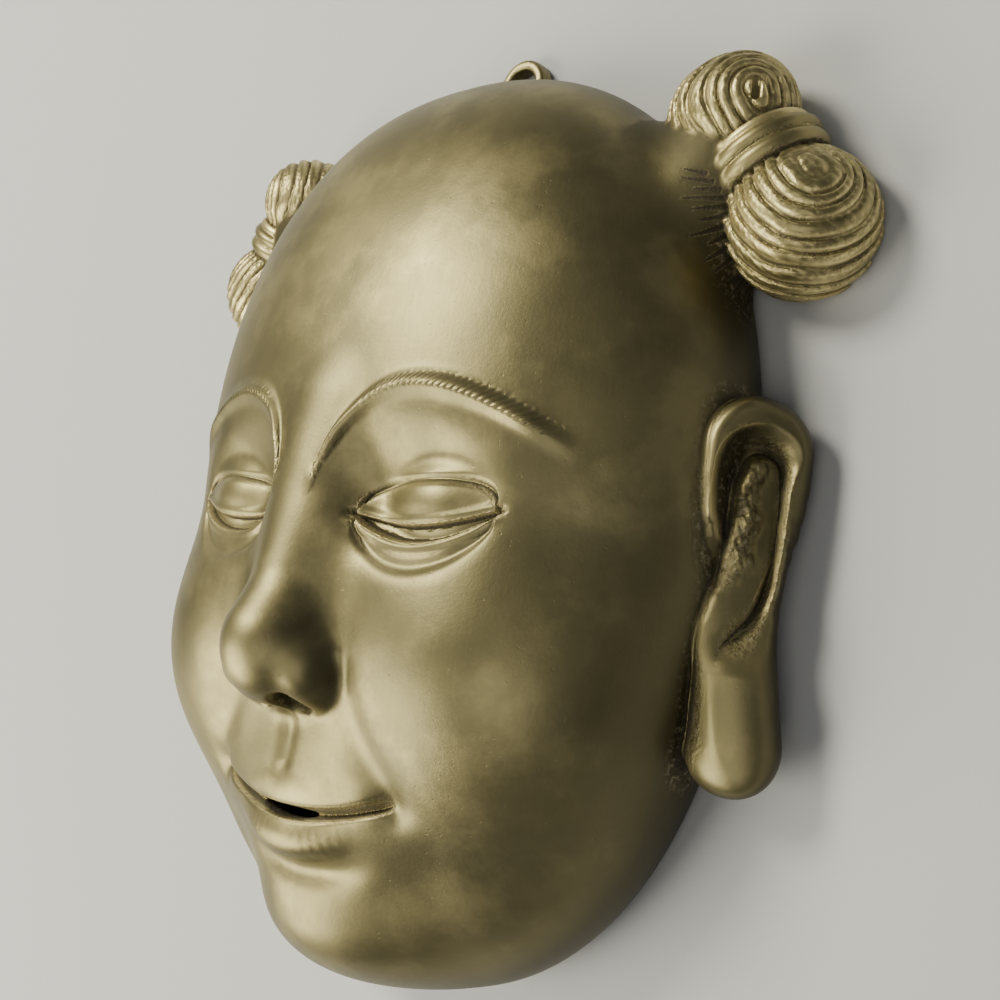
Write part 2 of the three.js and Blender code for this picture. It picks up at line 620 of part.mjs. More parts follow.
// The origin is on the surface it lies on, under the middle of its outline
const { min, max } = new THREE.Box3().setFromObject(mask, true);
const part = new THREE.Group();
part.position.set(0, -(min.y + max.y) / 2, 0);
part.add(mask);

export default part;
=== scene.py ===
import math

import bpy
import numpy as np
from mathutils import Matrix, Vector


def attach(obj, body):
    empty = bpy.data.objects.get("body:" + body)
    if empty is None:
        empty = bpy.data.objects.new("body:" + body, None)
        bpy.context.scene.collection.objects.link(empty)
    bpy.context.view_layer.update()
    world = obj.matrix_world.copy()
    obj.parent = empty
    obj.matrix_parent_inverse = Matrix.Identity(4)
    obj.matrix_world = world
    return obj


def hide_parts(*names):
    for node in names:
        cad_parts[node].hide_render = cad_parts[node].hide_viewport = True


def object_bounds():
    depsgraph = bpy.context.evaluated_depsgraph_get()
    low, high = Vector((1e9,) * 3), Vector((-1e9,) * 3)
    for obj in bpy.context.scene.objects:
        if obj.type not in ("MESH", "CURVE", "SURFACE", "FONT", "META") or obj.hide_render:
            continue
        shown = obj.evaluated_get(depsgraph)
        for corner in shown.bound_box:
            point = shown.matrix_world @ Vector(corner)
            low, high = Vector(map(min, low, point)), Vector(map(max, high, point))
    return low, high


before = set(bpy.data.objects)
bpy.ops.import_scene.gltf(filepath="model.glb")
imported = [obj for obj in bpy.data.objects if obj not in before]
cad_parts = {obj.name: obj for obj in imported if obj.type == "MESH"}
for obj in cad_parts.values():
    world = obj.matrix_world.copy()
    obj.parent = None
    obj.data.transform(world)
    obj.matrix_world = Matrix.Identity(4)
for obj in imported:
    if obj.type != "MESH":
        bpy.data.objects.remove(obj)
CAD_BOX = [list(corner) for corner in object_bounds()]

# Driving sizes of the casting, in millimetres, as in the CAD model. x runs across the face,
# y to the crown and z out of the face, with y = 0 on the line of the eyes.
HEAD_LENGTH = 180.0
HEAD_WIDTH = 134.0
HEAD_DEPTH = 49.5
WIDEST_HEIGHT = 9.0
WALL = 3.6
HEAD_CENTRE_Y = -1.2
OUTLINE_POWER = 2.3
SECTION_POWER = 2.08
UNDERCUT_DEPTH = 34.0
CROWN_FULLNESS = 0.03
HALF_WIDTH = HEAD_WIDTH / 2
HALF_LENGTH = HEAD_LENGTH / 2

# Face proportions: five eyes to the width, and three equal parts from hairline to chin
EYE_WIDTH = HEAD_WIDTH / 5
FACE_THIRD = HEAD_LENGTH / 3.5
BROW_Y = HALF_LENGTH - 1.5 * FACE_THIRD
NOSE_BASE_Y = BROW_Y - FACE_THIRD
MOUTH_Y = NOSE_BASE_Y - FACE_THIRD / 3 - 1.7
MOUTH_HALF_WIDTH = 0.8 * EYE_WIDTH
MOUTH_SMILE = 4.0

RING_OUTER_RADIUS = 6.2
RING_HOLE_RADIUS = 3.6
RING_THICKNESS = 4.0
RING_CENTRE_Y = 92.2
RING_NECK_HALF_WIDTH = 4.4
RING_NECK_FOOT_Y = 82.5

# The mask frame's y = 0 line in the part's frame, from the hanging ring's top
MM = 0.001
SHIFT_Y = CAD_BOX[1][1] / MM - (RING_CENTRE_Y + RING_OUTER_RADIUS)

# Boxes round the parts of one half, outside which their forms are not worked out
MOUTH_BOX = ((0, -68, 30), (24, -46, 50))
SLOT_BOX = ((0, -60, 15), (8, -50, 60))
KNOT_BOX = ((50, 39, 0), (86, 84, 20))
EAR_BOX = ((60, -46, 0), (84, 23, 25))
RING_BOX = ((0, 82, 0), (7, 99, 4))
FAN_BOX = ((48, 34, 0), (70, 72, 26))
BROW_BOX = ((10, 8, 20), (54, 28, 60))
BOX_MARGIN = 7
FAR_OFF = 30.0


# Smooth steps, and forms that each give about the distance to their surface, below zero inside
def smoothstep(low, high, t):
    t = np.clip((t - low) / (high - low), 0, 1)
    return t * t * (3 - 2 * t)


def bell(t):
    return np.exp(-t * t)


def melt(a, b, blend):
    h = np.maximum(blend - np.abs(a - b), 0) / blend
    return np.minimum(a, b) - h * h * blend / 4


def carve(a, b, blend):
    return -melt(-a, b, blend)


def egg(p, centre, radii):
    q = [(p[i] - centre[i]) / radii[i] for i in range(3)]
    unit = np.sqrt(q[0] ** 2 + q[1] ** 2 + q[2] ** 2)
    slope = np.sqrt(sum((q[i] / radii[i]) ** 2 for i in range(3)))
    return unit * (unit - 1) / np.maximum(slope, 1e-6)


def swell(d, q, mass):
    centre, radii, blend = mass
    return melt(d, egg(q, centre, radii), blend)


def scoop(d, q, mass):
    centre, radii, blend = mass
    return carve(d, egg(q, centre, radii), blend)


def rod(p, start, end):
    run = np.asarray(end[:3], float) - np.asarray(start[:3], float)
    gap = [p[i] - start[i] for i in range(3)]
    t = np.clip(sum(gap[i] * run[i] for i in range(3)) / (run @ run), 0, 1)
    away = np.sqrt(sum((gap[i] - t * run[i]) ** 2 for i in range(3)))
    return away - (start[3] + (end[3] - start[3]) * t)


def chain(p, beads):
    d = rod(p, beads[0], beads[1])
    for start, end in zip(beads[1:], beads[2:]):
        d = np.minimum(d, rod(p, start, end))
    return d


def spline(rows, steps):
    """Points on a smooth curve through rows of numbers."""
    rows = np.asarray(rows, float)
    r = np.vstack([2 * rows[0] - rows[1], rows, 2 * rows[-1] - rows[-2]])
    out = []
    for i in range(1, len(r) - 2):
        for t in np.arange(steps) / steps:
            a = r[i + 1] - r[i - 1]
            b = 2 * r[i - 1] - 5 * r[i] + 4 * r[i + 1] - r[i + 2]
            c = 3 * r[i] - r[i - 1] - 3 * r[i + 1] + r[i + 2]
            out.append(r[i] + 0.5 * (a * t + b * t ** 2 + c * t ** 3))
    out.append(r[-2])
    return out


def folded(points):
    """Columns of an array of points, folded to the half with x >= 0."""
    return [np.abs(points[:, 0]), points[:, 1], points[:, 2]]


def in_box(q, box, margin=0):
    low, high = box
    inside = np.ones(q[0].shape, bool)
    for axis in range(3):
        inside &= (q[axis] > low[axis] - margin) & (q[axis] < high[axis] + margin)
    return inside


def only_in(q, part, box, margin=0, elsewhere=0.0):
    """What a part gives inside its box, and one fixed number elsewhere."""
    out = np.full(q[0].shape, float(elsewhere))
    near = in_box(q, box, margin)
    if near.any():
        out[near] = part([axis[near] for axis in q])
    return out


def near_only(q, part, box):
    return only_in(q, part, box, BOX_MARGIN, FAR_OFF)


# Head: a domed oval, tucked in a little towards its back rim. From here on q is a point folded
# to the half with x >= 0.
def outline_unit(x, y):
    to_crown = y - HEAD_CENTRE_Y
    width = HALF_WIDTH * (1 + CROWN_FULLNESS * np.clip(to_crown / HALF_LENGTH, -1, 1))
    return np.abs(x) / width, np.abs(to_crown) / HALF_LENGTH, width


def dome(q):
    x, y, z = q
    up = z > WIDEST_HEIGHT
    depth = np.where(up, HEAD_DEPTH - WIDEST_HEIGHT, UNDERCUT_DEPTH)
    power = np.where(up, SECTION_POWER, 2.0)
    rise = np.abs(z - WIDEST_HEIGHT) / depth
    u, v, width = outline_unit(x, y)
    oval = u ** OUTLINE_POWER + v ** OUTLINE_POWER + 1e-9
    unit = np.sqrt(oval ** (2 / OUTLINE_POWER) + rise ** power)
    pull = oval ** (2 / OUTLINE_POWER - 1)
    slope = np.sqrt(
        (pull * u ** (OUTLINE_POWER - 1) / width) ** 2
        + (pull * v ** (OUTLINE_POWER - 1) / HALF_LENGTH) ** 2
        + (power / 2 * rise ** (power - 1) / depth) ** 2
    )
    return (unit - 1) * unit / np.maximum(slope, 1e-6)


# Rounded masses of one half of the head: a centre, radii and the blend that melts them in
CHEEK = ((30, -30, 25), (23, 22, 20.5), 16)
CHIN = ((0, -76, 24), (19, 12, 15.5), 12)
MUZZLE = ((0, -54, 30), (22, 14, 15.5), 12)
EYE_SOCKET = ((EYE_WIDTH, 1.5, 54), (19, 12, 11.5), 7)
KNOT_ROOT = ((56, 62, 7), (12.5, 17, 12), 8)
EYEBALL = ((EYE_WIDTH, -1, 32.3), (14.6, 11, 13.5), 2.5)
NOSE_TIP = ((0, -29, 52), (8.6, 9, 8.8), 7)
NOSE_WING = ((9.2, -31.6, 47.5), (5.2, 6.2, 8), 3.2)
NOSTRIL = ((5.3, -37.6, 50.4), (2.6, 2.4, 4.4), 1.6)

# Rods: two ends, each with a radius, and a blend
NOSE_BRIDGE = ((0, 15, 41.5, 5), (0, -25, 50.6, 7.4), 11)
NOSE_GROOVE = ((0, 8, 30, 7), (0, -24, 37, 9), 9)

# Lips: rise over the mouth line, bow, height, radius and sag back to the corner, and a blend
UPPER_LIP, UPPER_LIP_BLEND = (3.2, 1.5, 43.4, 3.9, 6.8), 1.2
LOWER_LIP, LOWER_LIP_BLEND = (-4.6, 0, 42.4, 4.9, 6.4), 1.4
LIP_BEADS = 14
LIP_END_RADIUS = 1.3
BOW_PLACE, BOW_WIDTH = 4.8, 3.6


def broad_head(q):
    """The head's broad masses, which the hollow back follows too."""
    d = dome(q)
    for mass in (CHEEK, CHIN, MUZZLE):
        d = swell(d, q, mass)
    return scoop(d, q, EYE_SOCKET)


def hollow(q):
    """The open back keeps the wall's thickness and has a soft groove behind the nose."""
    start, end, blend = NOSE_GROOVE
    return melt(broad_head(q) + WALL, rod(q, start, end), blend)


def mouth_line(x):
    return MOUTH_Y + MOUTH_SMILE * (x / MOUTH_HALF_WIDTH) ** 2.2


def lip(q, rise, bow, height, radius, sag):
    """A row of beads along the mouth line, thinner and further back towards the corner."""
    beads = []
    for t in np.linspace(0, 1, LIP_BEADS):
        x = 0.98 * MOUTH_HALF_WIDTH * t
        lift = (rise + bow * bell((x - BOW_PLACE) / BOW_WIDTH)) * (1 - t * t)
        bead_radius = radius + (LIP_END_RADIUS - radius) * t ** 1.6
        beads.append((x, mouth_line(x) + lift, height - sag * t * t, bead_radius))
    return chain(q, beads)


def features(q):
    start, end, blend = NOSE_BRIDGE
    d = melt(broad_head(q), rod(q, start, end), blend)
    for mass in (KNOT_ROOT, EYEBALL, NOSE_TIP, NOSE_WING):
        d = swell(d, q, mass)
    d = scoop(d, q, NOSTRIL)
    d = melt(d, near_only(q, lambda r: lip(r, *UPPER_LIP), MOUTH_BOX), UPPER_LIP_BLEND)
    return melt(d, near_only(q, lambda r: lip(r, *LOWER_LIP), MOUTH_BOX), LOWER_LIP_BLEND)


# Lines of one half of the face, which start and are full at these heights. A smoothstep of x or y
# fades a line in or out between two places, in millimetres.
LINES_START, LINES_FULL = 14, 22

# Eye: the lids' line, and cuts beside it. A cut has a place, a width and a depth, and a depth
# below zero raises a ridge.
LID_MIDDLE, LID_SAG, LID_TILT = -3.4, 3, 0.9
LID_ROUNDNESS = 1.12
SLIT_HALF_HEIGHT, SLIT_DEPTH = 1.15, 1.15
SLIT_OUTER_EDGE, SLIT_INNER_EDGE = 0.45, 0.35
CREASE_ARCH, CREASE = 8.4, (0.6, 0.8, 0.75)
UPPER_LID_EDGE = (1.0, 0.8, -0.35)
LOWER_LID_EDGE = (-0.9, 0.9, -0.45)
POUCH_DROP, POUCH = 5.6, (0, 1.3, 0.5)

BROW_START, BROW_LENGTH = 5.5, 46
BROW_FOOT, BROW_RISE = 2, 17.5
BROW_RIDGE = (0, 1.9, -1.3)

PARTING_END, PARTING_DEPTH = 24.5, 2.2
CORNER_X, CORNER_Y, CORNER_WIDTH, CORNER_HEIGHT, CORNER_DEPTH = 23.6, -53, 2.8, 3, 1.3
LIP_GROOVE = (0, 2.4, 1)
FOLD_X, FOLD_Y, FOLD_RUN_X, FOLD_RUN_Y = 14.8, -31, 14.5, 26
FOLD = (0, 4.2, 0.8)
CHIN_LINE_Y, CHIN_CURVE, CHIN_LINE = -68, 0.012, (0, 2.8, 1.3)


def cut_at(away, cut):
    place, width, depth = cut
    return depth * bell((away - place) / width)


def eye_lines(x, y):
    t = (x - EYE_WIDTH) / (EYE_WIDTH / 2)
    s = np.clip(t, -1.1, LID_ROUNDNESS)
    opening = np.sqrt(np.maximum(LID_ROUNDNESS - s * s, 0))
    away = y - (LID_MIDDLE - LID_SAG * (1 - s * s) + LID_TILT * s)
    half = SLIT_HALF_HEIGHT * opening
    slit = SLIT_DEPTH * smoothstep(half + SLIT_OUTER_EDGE, half - SLIT_INNER_EDGE, np.abs(away))
    crease = cut_at(away - CREASE_ARCH * opening, CREASE)
    edges = cut_at(away - half, UPPER_LID_EDGE) + cut_at(away + half, LOWER_LID_EDGE)
    pouch = cut_at(away + POUCH_DROP * opening, POUCH)
    return (slit + crease + edges + pouch) * smoothstep(1.22, 1.02, np.abs(t))


def brow_arch(x):
    t = np.clip((x - BROW_START) / BROW_LENGTH, 0, 1)
    return BROW_FOOT + BROW_RISE * np.sin(math.pi * 0.86 * t ** 0.62)


def brow_line(x, y):
    return cut_at(y - brow_arch(x), BROW_RIDGE) * smoothstep(3, 9, x) * smoothstep(54, 42, x)


def mouth_lines(x, y):
    from_parting = y - mouth_line(np.minimum(x, PARTING_END))
    parting = PARTING_DEPTH * bell(from_parting) * smoothstep(PARTING_END, PARTING_END - 4, x)
    from_corner = np.hypot((x - CORNER_X) / CORNER_WIDTH, (y - CORNER_Y) / CORNER_HEIGHT)
    corner = CORNER_DEPTH * bell(from_corner)
    groove = cut_at(x, LIP_GROOVE) * smoothstep(-52, -48, y) * smoothstep(-37, -44, y)
    fold_x = FOLD_X + FOLD_RUN_X * np.clip((FOLD_Y - y) / FOLD_RUN_Y, 0, 1.1) ** 1.5
    fold = cut_at(x - fold_x, FOLD) * smoothstep(-58, -46, y) * smoothstep(-27, -33, y)
    chin = cut_at(y - CHIN_LINE_Y - CHIN_CURVE * x * x, CHIN_LINE) * smoothstep(20, 6, x)
    return parting + corner + groove + fold + chin


# The fan of cuts beside a knot: places where a cut starts, and its run, from the crown to the ear
FAN_ROWS = (
    (59.6, 59.7, 18.5, -3.4, 0.9, 1.1),
    (63.2, 54.2, 15.4, -5.2, -0.7, 3.3),
    (63.7, 49.2, 11.9, -3.2, -4.1, 4.4),
    (62.1, 44.5, 3.8, 0.9, -5.3, 4.5),
)
FAN_STEPS = 4
FAN_POINTS = 7
FAN_UNEVEN = 0.25
FAN_WIDTH, FAN_TAPER = 0.46, 0.55
FAN_DEPTH, FAN_DEEPER = 0.35, 0.5
FAN_LIP_PLACE, FAN_LIP_WIDTH, FAN_LIP_HEIGHT = 1.9, 0.8, 0.12

# The row of cuts along a brow
BROW_CUTS, BROW_CUTS_START, BROW_CUTS_LENGTH = 30, 13, 34
BROW_CUT_LENGTH, BROW_CUT_DEPTH, BROW_CUT_WIDTH = 2.6, 0.15, 0.3
BROW_CUT_LEAN, BROW_CUT_TURN = 64, 40


def scalp_strokes():
    """Lines of short cuts that fan out on the scalp beside each knot, laid on its surface."""
    strokes = []
    for k, row in enumerate(spline(FAN_ROWS, FAN_STEPS)):
        reach = 1 + FAN_UNEVEN * math.sin(2.4 * k)
        along = np.linspace(-0.06, reach, FAN_POINTS)[:, None]
        path = pull_to_surface(row[:3] + row[3:] * along, features_at, rounds=6, limit=1.0)
        strokes.append(np.hstack([path, np.zeros((FAN_POINTS, 1))]))
    return strokes


def stroke_depth(q):
    """Depth of cuts with raised lips, narrower away from the knot; those to the ear are deeper."""
    depth = np.zeros(q[0].shape)
    for k, beads in enumerate(SCALP_STROKES):
        run = (beads[-1] - beads[0])[:3]
        along = sum((q[i] - beads[0][i]) * run[i] for i in range(3)) / (run @ run)
        taper = 1 - FAN_TAPER * np.clip(along, 0, 1)
        share = k / len(SCALP_STROKES)
        away = chain(q, beads) / (FAN_WIDTH * taper)
        depth = depth + taper * (FAN_DEPTH + FAN_DEEPER * share) * bell(away)
        raised = bell((away - FAN_LIP_PLACE) / FAN_LIP_WIDTH)
        depth = depth - taper * FAN_LIP_HEIGHT * share * raised
    return depth


def fan_depth(q):
    return only_in(q, stroke_depth, FAN_BOX)


def flat_distance(q, start, end):
    """Distance from a short line, seen from the front."""
    run = np.subtract(end, start)
    gap_x, gap_y = q[0] - start[0], q[1] - start[1]
    t = np.clip((gap_x * run[0] + gap_y * run[1]) / (run @ run), 0, 1)
    return np.hypot(gap_x - t * run[0], gap_y - t * run[1])


def brow_strokes(q):
    """One neat row of fine parallel cuts along each brow."""
    depth = np.zeros(q[0].shape)
    for x in np.linspace(BROW_CUTS_START, BROW_CUTS_START + BROW_CUTS_LENGTH, BROW_CUTS):
        y = float(brow_arch(x)) - 0.2
        lean = math.radians(BROW_CUT_LEAN - BROW_CUT_TURN * (x - BROW_CUTS_START) / BROW_CUTS_LENGTH)
        end = (x + BROW_CUT_LENGTH * math.cos(lean), y + BROW_CUT_LENGTH * math.sin(lean))
        depth = np.maximum(depth, BROW_CUT_DEPTH * bell(flat_distance(q, (x, y), end) / BROW_CUT_WIDTH))
    return depth


def head(q):
    x, y, z = q
    lines = eye_lines(x, y) + brow_line(x, y) + mouth_lines(x, y)
    d = features(q) + lines * smoothstep(LINES_START, LINES_FULL, z)
    return d + fan_depth(q) + only_in(q, brow_strokes, BROW_BOX)


# Side knots: two lobes of wound hair, each with a pole that its strands run round, and a band
UPPER_CENTRE = np.array((60.5, 73.2, 10.0))
UPPER_RADIUS = 10.4
UPPER_STRETCH = 1.35
UPPER_POLE = UPPER_CENTRE + UPPER_RADIUS * np.array((0.72, 0.056, 0.692))
UPPER_PITCH, UPPER_GROOVE, UPPER_WORN = 2.25, 0.6, 3.0
LOWER_CENTRE = np.array((72.4, 52.8, 6.0))
LOWER_RADIUS = 13.4
LOWER_POLE = LOWER_CENTRE + LOWER_RADIUS * np.array((0.52, 0.45, 0.725))
LOWER_PITCH, LOWER_GROOVE, LOWER_WORN = 2.4, 0.66, 8.0
KNOT_AXIS = (UPPER_CENTRE - LOWER_CENTRE) / np.linalg.norm(UPPER_CENTRE - LOWER_CENTRE)
LOBE_BLEND = 1.0
STRAND_SKEW, STRAND_POWER = 0.75, 1.5
WORN_SHARE = 0.3
CRUMBLE_HEIGHT = 0.07

# The slot in the upper lobe's end lies a little under its pole
SLOT_SINK, SLOT_HALF_LENGTH, SLOT_RADIUS, SLOT_BLEND = 0.3, 1.3, 0.8, 0.5

# The band has three cords: heights along the knot's axis, radii and thicknesses
BAND_PLACE = 0.56
BAND_RADIUS = 8.9
BAND_HALF_HEIGHT = 2.8
BAND_CORDS = ((-2.0, 8.9, 1.7), (0.9, 9.0, 1.55), (3.1, 8.5, 1.0))
CORD_BLEND = 0.4


def line_distance(q, start, direction):
    gap = [q[i] - start[i] for i in range(3)]
    along = np.maximum(sum(gap[i] * direction[i] for i in range(3)), 0)
    return np.sqrt(sum((gap[i] - along * direction[i]) ** 2 for i in range(3)))


def crumble(a, b):
    """Uneven lumps between -1 and 1, in two measures of a surface."""
    coarse = np.sin(2.9 * a + 1.3 * b) * np.sin(2.3 * b - 1.1 * a)
    return 0.65 * coarse + 0.35 * np.sin(5.1 * a - 2.2 * b + 1) * np.sin(4.7 * b + 2.4 * a)


def strands(q, distance, pitch, groove, worn):
    """Valleys between narrow, rounded strands of hair that wander, worn shallow round the pole."""
    waves = np.sin(0.41 * q[0] + 0.9) * np.sin(0.37 * q[1] + 0.3 * q[2])
    turn = 2 * math.pi * (distance + 0.2 * np.sin(0.9 * distance) + 0.16 * waves) / pitch
    crest = 0.5 - 0.5 * np.cos(turn + STRAND_SKEW * np.sin(turn))
    uneven = 1 + 0.25 * np.sin(0.7 * q[0] - 0.5 * q[1] + 1.7 * distance)
    uneven = uneven * (WORN_SHARE + (1 - WORN_SHARE) * smoothstep(0, worn, distance))
    valleys = groove * uneven * (1 - crest ** STRAND_POWER)
    return valleys + CRUMBLE_HEIGHT * crumble(q[0] + q[2], q[1] - q[2])


def upper_lobe(q):
    to_head = np.minimum(q[0] - UPPER_CENTRE[0], 0)
    drawn = [q[0] - to_head * (1 - 1 / UPPER_STRETCH), q[1], q[2]]
    d = egg(drawn, UPPER_CENTRE, (UPPER_RADIUS,) * 3)
    to_pole = line_distance(drawn, UPPER_POLE, -KNOT_AXIS)
    d = d + strands(q, to_pole, UPPER_PITCH, UPPER_GROOVE, UPPER_WORN)
    start = UPPER_POLE + (-SLOT_SINK, SLOT_HALF_LENGTH, -SLOT_SINK)
    end = UPPER_POLE + (-SLOT_SINK, -SLOT_HALF_LENGTH, -SLOT_SINK)
    return carve(d, rod(q, (*start, SLOT_RADIUS), (*end, SLOT_RADIUS)), SLOT_BLEND)


def lower_lobe(q):
    d = egg(q, LOWER_CENTRE, (LOWER_RADIUS,) * 3)
    to_pole = line_distance(q, LOWER_POLE, KNOT_AXIS)
    return d + strands(q, to_pole, LOWER_PITCH, LOWER_GROOVE, LOWER_WORN)


def band(q):
    """Cords wound round the waist between the lobes."""
    waist = LOWER_CENTRE + (UPPER_CENTRE - LOWER_CENTRE) * BAND_PLACE
    gap = [q[i] - waist[i] for i in range(3)]
    along = sum(gap[i] * KNOT_AXIS[i] for i in range(3))
    away = np.sqrt(np.maximum(sum(g * g for g in gap) - along ** 2, 1e-9))
    d = np.maximum(away - BAND_RADIUS, np.abs(along) - BAND_HALF_HEIGHT)
    for height, radius, thickness in BAND_CORDS:
        d = melt(d, np.hypot(away - radius, along - height) - thickness, CORD_BLEND)
    return d


def knot(q):
    return np.minimum(melt(upper_lobe(q), lower_lobe(q), LOBE_BLEND), band(q))


# The ear is a plate that leans back from the side of the head. Its outline, its hollow and the
# body of gristle in the hollow are rows of places across and along the plate, with a radius. The
# hollow's end is the slit over the lobe. A smoothstep of s or t fades a form in or out between
# two places across or along the plate.
EAR_ORIGIN = np.array((66.0, 0.0, 17.0))
EAR_ACROSS = np.array((0.76, 0.0, -0.65))
EAR_OUTWARD = np.array((0.65, 0.0, 0.76))
EAR_STEPS = 3
EAR_OUTLINE = spline((
    (7.6, 12.6, 9.6), (7.4, 4.5, 9.2), (8.2, -7.5, 6.0), (6.4, -18, 7.2), (6.6, -28, 8.0),
    (7.4, -36.2, 8.4),
), EAR_STEPS)
EAR_HOLLOW = spline((
    (8.0, 9.2, 3.8), (7.9, 4, 3.9), (8.0, -2, 3.5), (8.2, -6.5, 2.9), (8.9, -10.5, 1.7),
    (8.2, -13.6, 0.9), (6.2, -16.2, 0.7), (4.4, -18.1, 0.5), (2.9, -19.5, 0.2),
), EAR_STEPS)
EAR_BODY = spline((
    (8.4, 8.8, 2.7), (8.1, 4, 3.7), (7.9, -2.8, 3.5), (6.4, -7.4, 3.5), (4.6, -12, 3.6),
    (3.0, -15.6, 3.0), (1.4, -20, 2.0), (1.0, -26, 1.4),
), EAR_STEPS)

# The thick back is a rod: places across, along and out of the plate, and a radius
EAR_ROD = ((6.8, -34, -8.5, 5), (7.6, 9, -9.4, 5))
EAR_BACK = 6.6
EAR_FRONT_BLEND, EAR_BACK_BLEND, EAR_ROD_BLEND = 2.4, 3.0, 2.0
FRONT_STEEPNESS = 0.7

# The hollow's slopes are crisp in front and rolled behind
HOLLOW_DEPTH = 4.6
CRISP_WIDTH, CRISP_POWER = 4.4, 1.3
ROLLED_WIDTH, ROLLED_POWER = 1.1, 1.6

# Crests along the ear's front edge and behind its hollow, and the fall to the rounded edge
FRONT_CREST_HEIGHT, FRONT_CREST_INSET, FRONT_CREST_WIDTH = 2.1, 1.6, 3.0
REAR_CREST_HEIGHT, REAR_CREST_PLACE, REAR_CREST_WIDTH = 0.3, 1.4, 0.9
EDGE_FALL, EDGE_WIDTH, EDGE_POWER = 1.9, 5.5, 2.4

# The lobe is a rounded pad behind a bevel, on both sides of a leaning crest line
LOBE_START, LOBE_FULL, LOBE_TOP = -18, -25, -22
LOBE_HEIGHT, LOBE_CREST, LOBE_LEAN = 0.9, 0.8, 0.18
PAD_RISE, PAD_ROUNDNESS = 0.6, 0.05
BEVEL_FOOT, BEVEL_TOP = 0.6, 0.7
PAD_BLEND, BODY_BLEND = 0.7, 0.4

# The body in the hollow: a knobby ridge in front and a smooth dip behind it
BODY_LEVEL, BODY_DIP = 0.5, 2.1
BODY_RIDGE_PLACE, BODY_RIDGE_WIDTH, BODY_RIDGE_HEIGHT = 5.9, 2.2, 1.5
BODY_SIDE_START, BODY_SIDE_STEEPNESS = 0.92, 7.0


def nearest_in_row(s, t, rows):
    """Distance to a row's line in the plate, and the row's own number at the nearest place."""
    best = np.full(s.shape, 1e3)
    value = np.zeros(s.shape)
    for (s0, t0, n0), (s1, t1, n1) in zip(rows, rows[1:]):
        run = (s1 - s0, t1 - t0)
        f = np.clip(((s - s0) * run[0] + (t - t0) * run[1]) / (run[0] ** 2 + run[1] ** 2), 0, 1)
        away = np.hypot(s - s0 - f * run[0], t - t0 - f * run[1])
        number = n0 + (n1 - n0) * f
        nearer = away - number < best - value
        best = np.where(nearer, away, best)
        value = np.where(nearer, number, value)
    return best, value


def outside_row(s, t, rows):
    away, radius = nearest_in_row(s, t, rows)
    return away - radius


def lobe_height(s, t):
    u = s - (LOBE_CREST + LOBE_LEAN * (LOBE_TOP - t))
    pad = PAD_RISE * u - PAD_ROUNDNESS * u * u
    bevel = u * (BEVEL_FOOT + BEVEL_TOP * smoothstep(-42, -33, t))
    return LOBE_HEIGHT + melt(pad, bevel, PAD_BLEND)


def body_height(s, t):
    away, width = nearest_in_row(s, t, EAR_BODY)
    share = away / width
    level = BODY_LEVEL - BODY_DIP * smoothstep(-15, 2, t)
    place = BODY_RIDGE_PLACE + 1.2 * smoothstep(5, 12, t) + 0.5 * np.sin(0.75 * t)
    knobs = 1 + 0.45 * np.sin(0.85 * t + 1.2) + 0.25 * crumble(0.75 * s, 0.65 * t)
    ridge = BODY_RIDGE_HEIGHT * knobs * bell((s - place) / BODY_RIDGE_WIDTH)
    ridge = ridge * smoothstep(-11, -3, t)
    side = BODY_SIDE_STEEPNESS * np.maximum(share - BODY_SIDE_START, 0) ** 1.5
    return level + ridge - 0.5 * share ** 2 - side


def hollow_height(s, t, rise, rear, rear_wall):
    ramp = np.clip(rise / (CRISP_WIDTH + (ROLLED_WIDTH - CRISP_WIDTH) * rear_wall), 0, 1)
    crisp = 1 - ramp ** CRISP_POWER
    rolled = (1 - ramp) ** ROLLED_POWER
    floor = -HOLLOW_DEPTH * smoothstep(-24, -6, t) * (1 - 0.4 * rear_wall)
    return carve(floor * (crisp + (rolled - crisp) * rear), -body_height(s, t), BODY_BLEND)


def ear_height(s, t):
    """How far the ear's carved front stands out of its plate."""
    rear = smoothstep(5, 11, s)
    rear_wall = smoothstep(6, 11.5, s) * smoothstep(15, 5, t) * smoothstep(-17, -12, t)
    rise = np.clip(outside_row(s, t, EAR_HOLLOW), 0, None)
    edge = outside_row(s, t, EAR_OUTLINE)
    front_crest = FRONT_CREST_HEIGHT * bell((edge + FRONT_CREST_INSET) / FRONT_CREST_WIDTH)
    front_crest = front_crest * smoothstep(12, 2, s) * smoothstep(-10, -2, t)
    rear_crest = REAR_CREST_HEIGHT * bell((rise - REAR_CREST_PLACE) / REAR_CREST_WIDTH) * rear_wall
    upper = hollow_height(s, t, rise, rear, rear_wall) + front_crest + rear_crest
    lobe = smoothstep(LOBE_START, LOBE_FULL, t)
    height = upper + (lobe_height(s, t) - upper) * lobe
    in_edge = np.clip(1 + edge / EDGE_WIDTH, 0, 1)
    return height - EDGE_FALL * in_edge ** EDGE_POWER * np.maximum(rear, lobe)


def ear_places(q):
    """Places across, along and out of the ear's plate."""
    rel = [q[i] - EAR_ORIGIN[i] for i in range(3)]
    across = rel[0] * EAR_ACROSS[0] + rel[2] * EAR_ACROSS[2]
    return across, rel[1], rel[0] * EAR_OUTWARD[0] + rel[2] * EAR_OUTWARD[2]


def ear(q):
    s, t, out = ear_places(q)
    to_front = FRONT_STEEPNESS * (out - ear_height(s, t))
    plate = carve(outside_row(s, t, EAR_OUTLINE), -to_front, EAR_FRONT_BLEND)
    plate = carve(plate, out + EAR_BACK, EAR_BACK_BLEND)
    return melt(plate, rod((s, t, out), *EAR_ROD), EAR_ROD_BLEND)


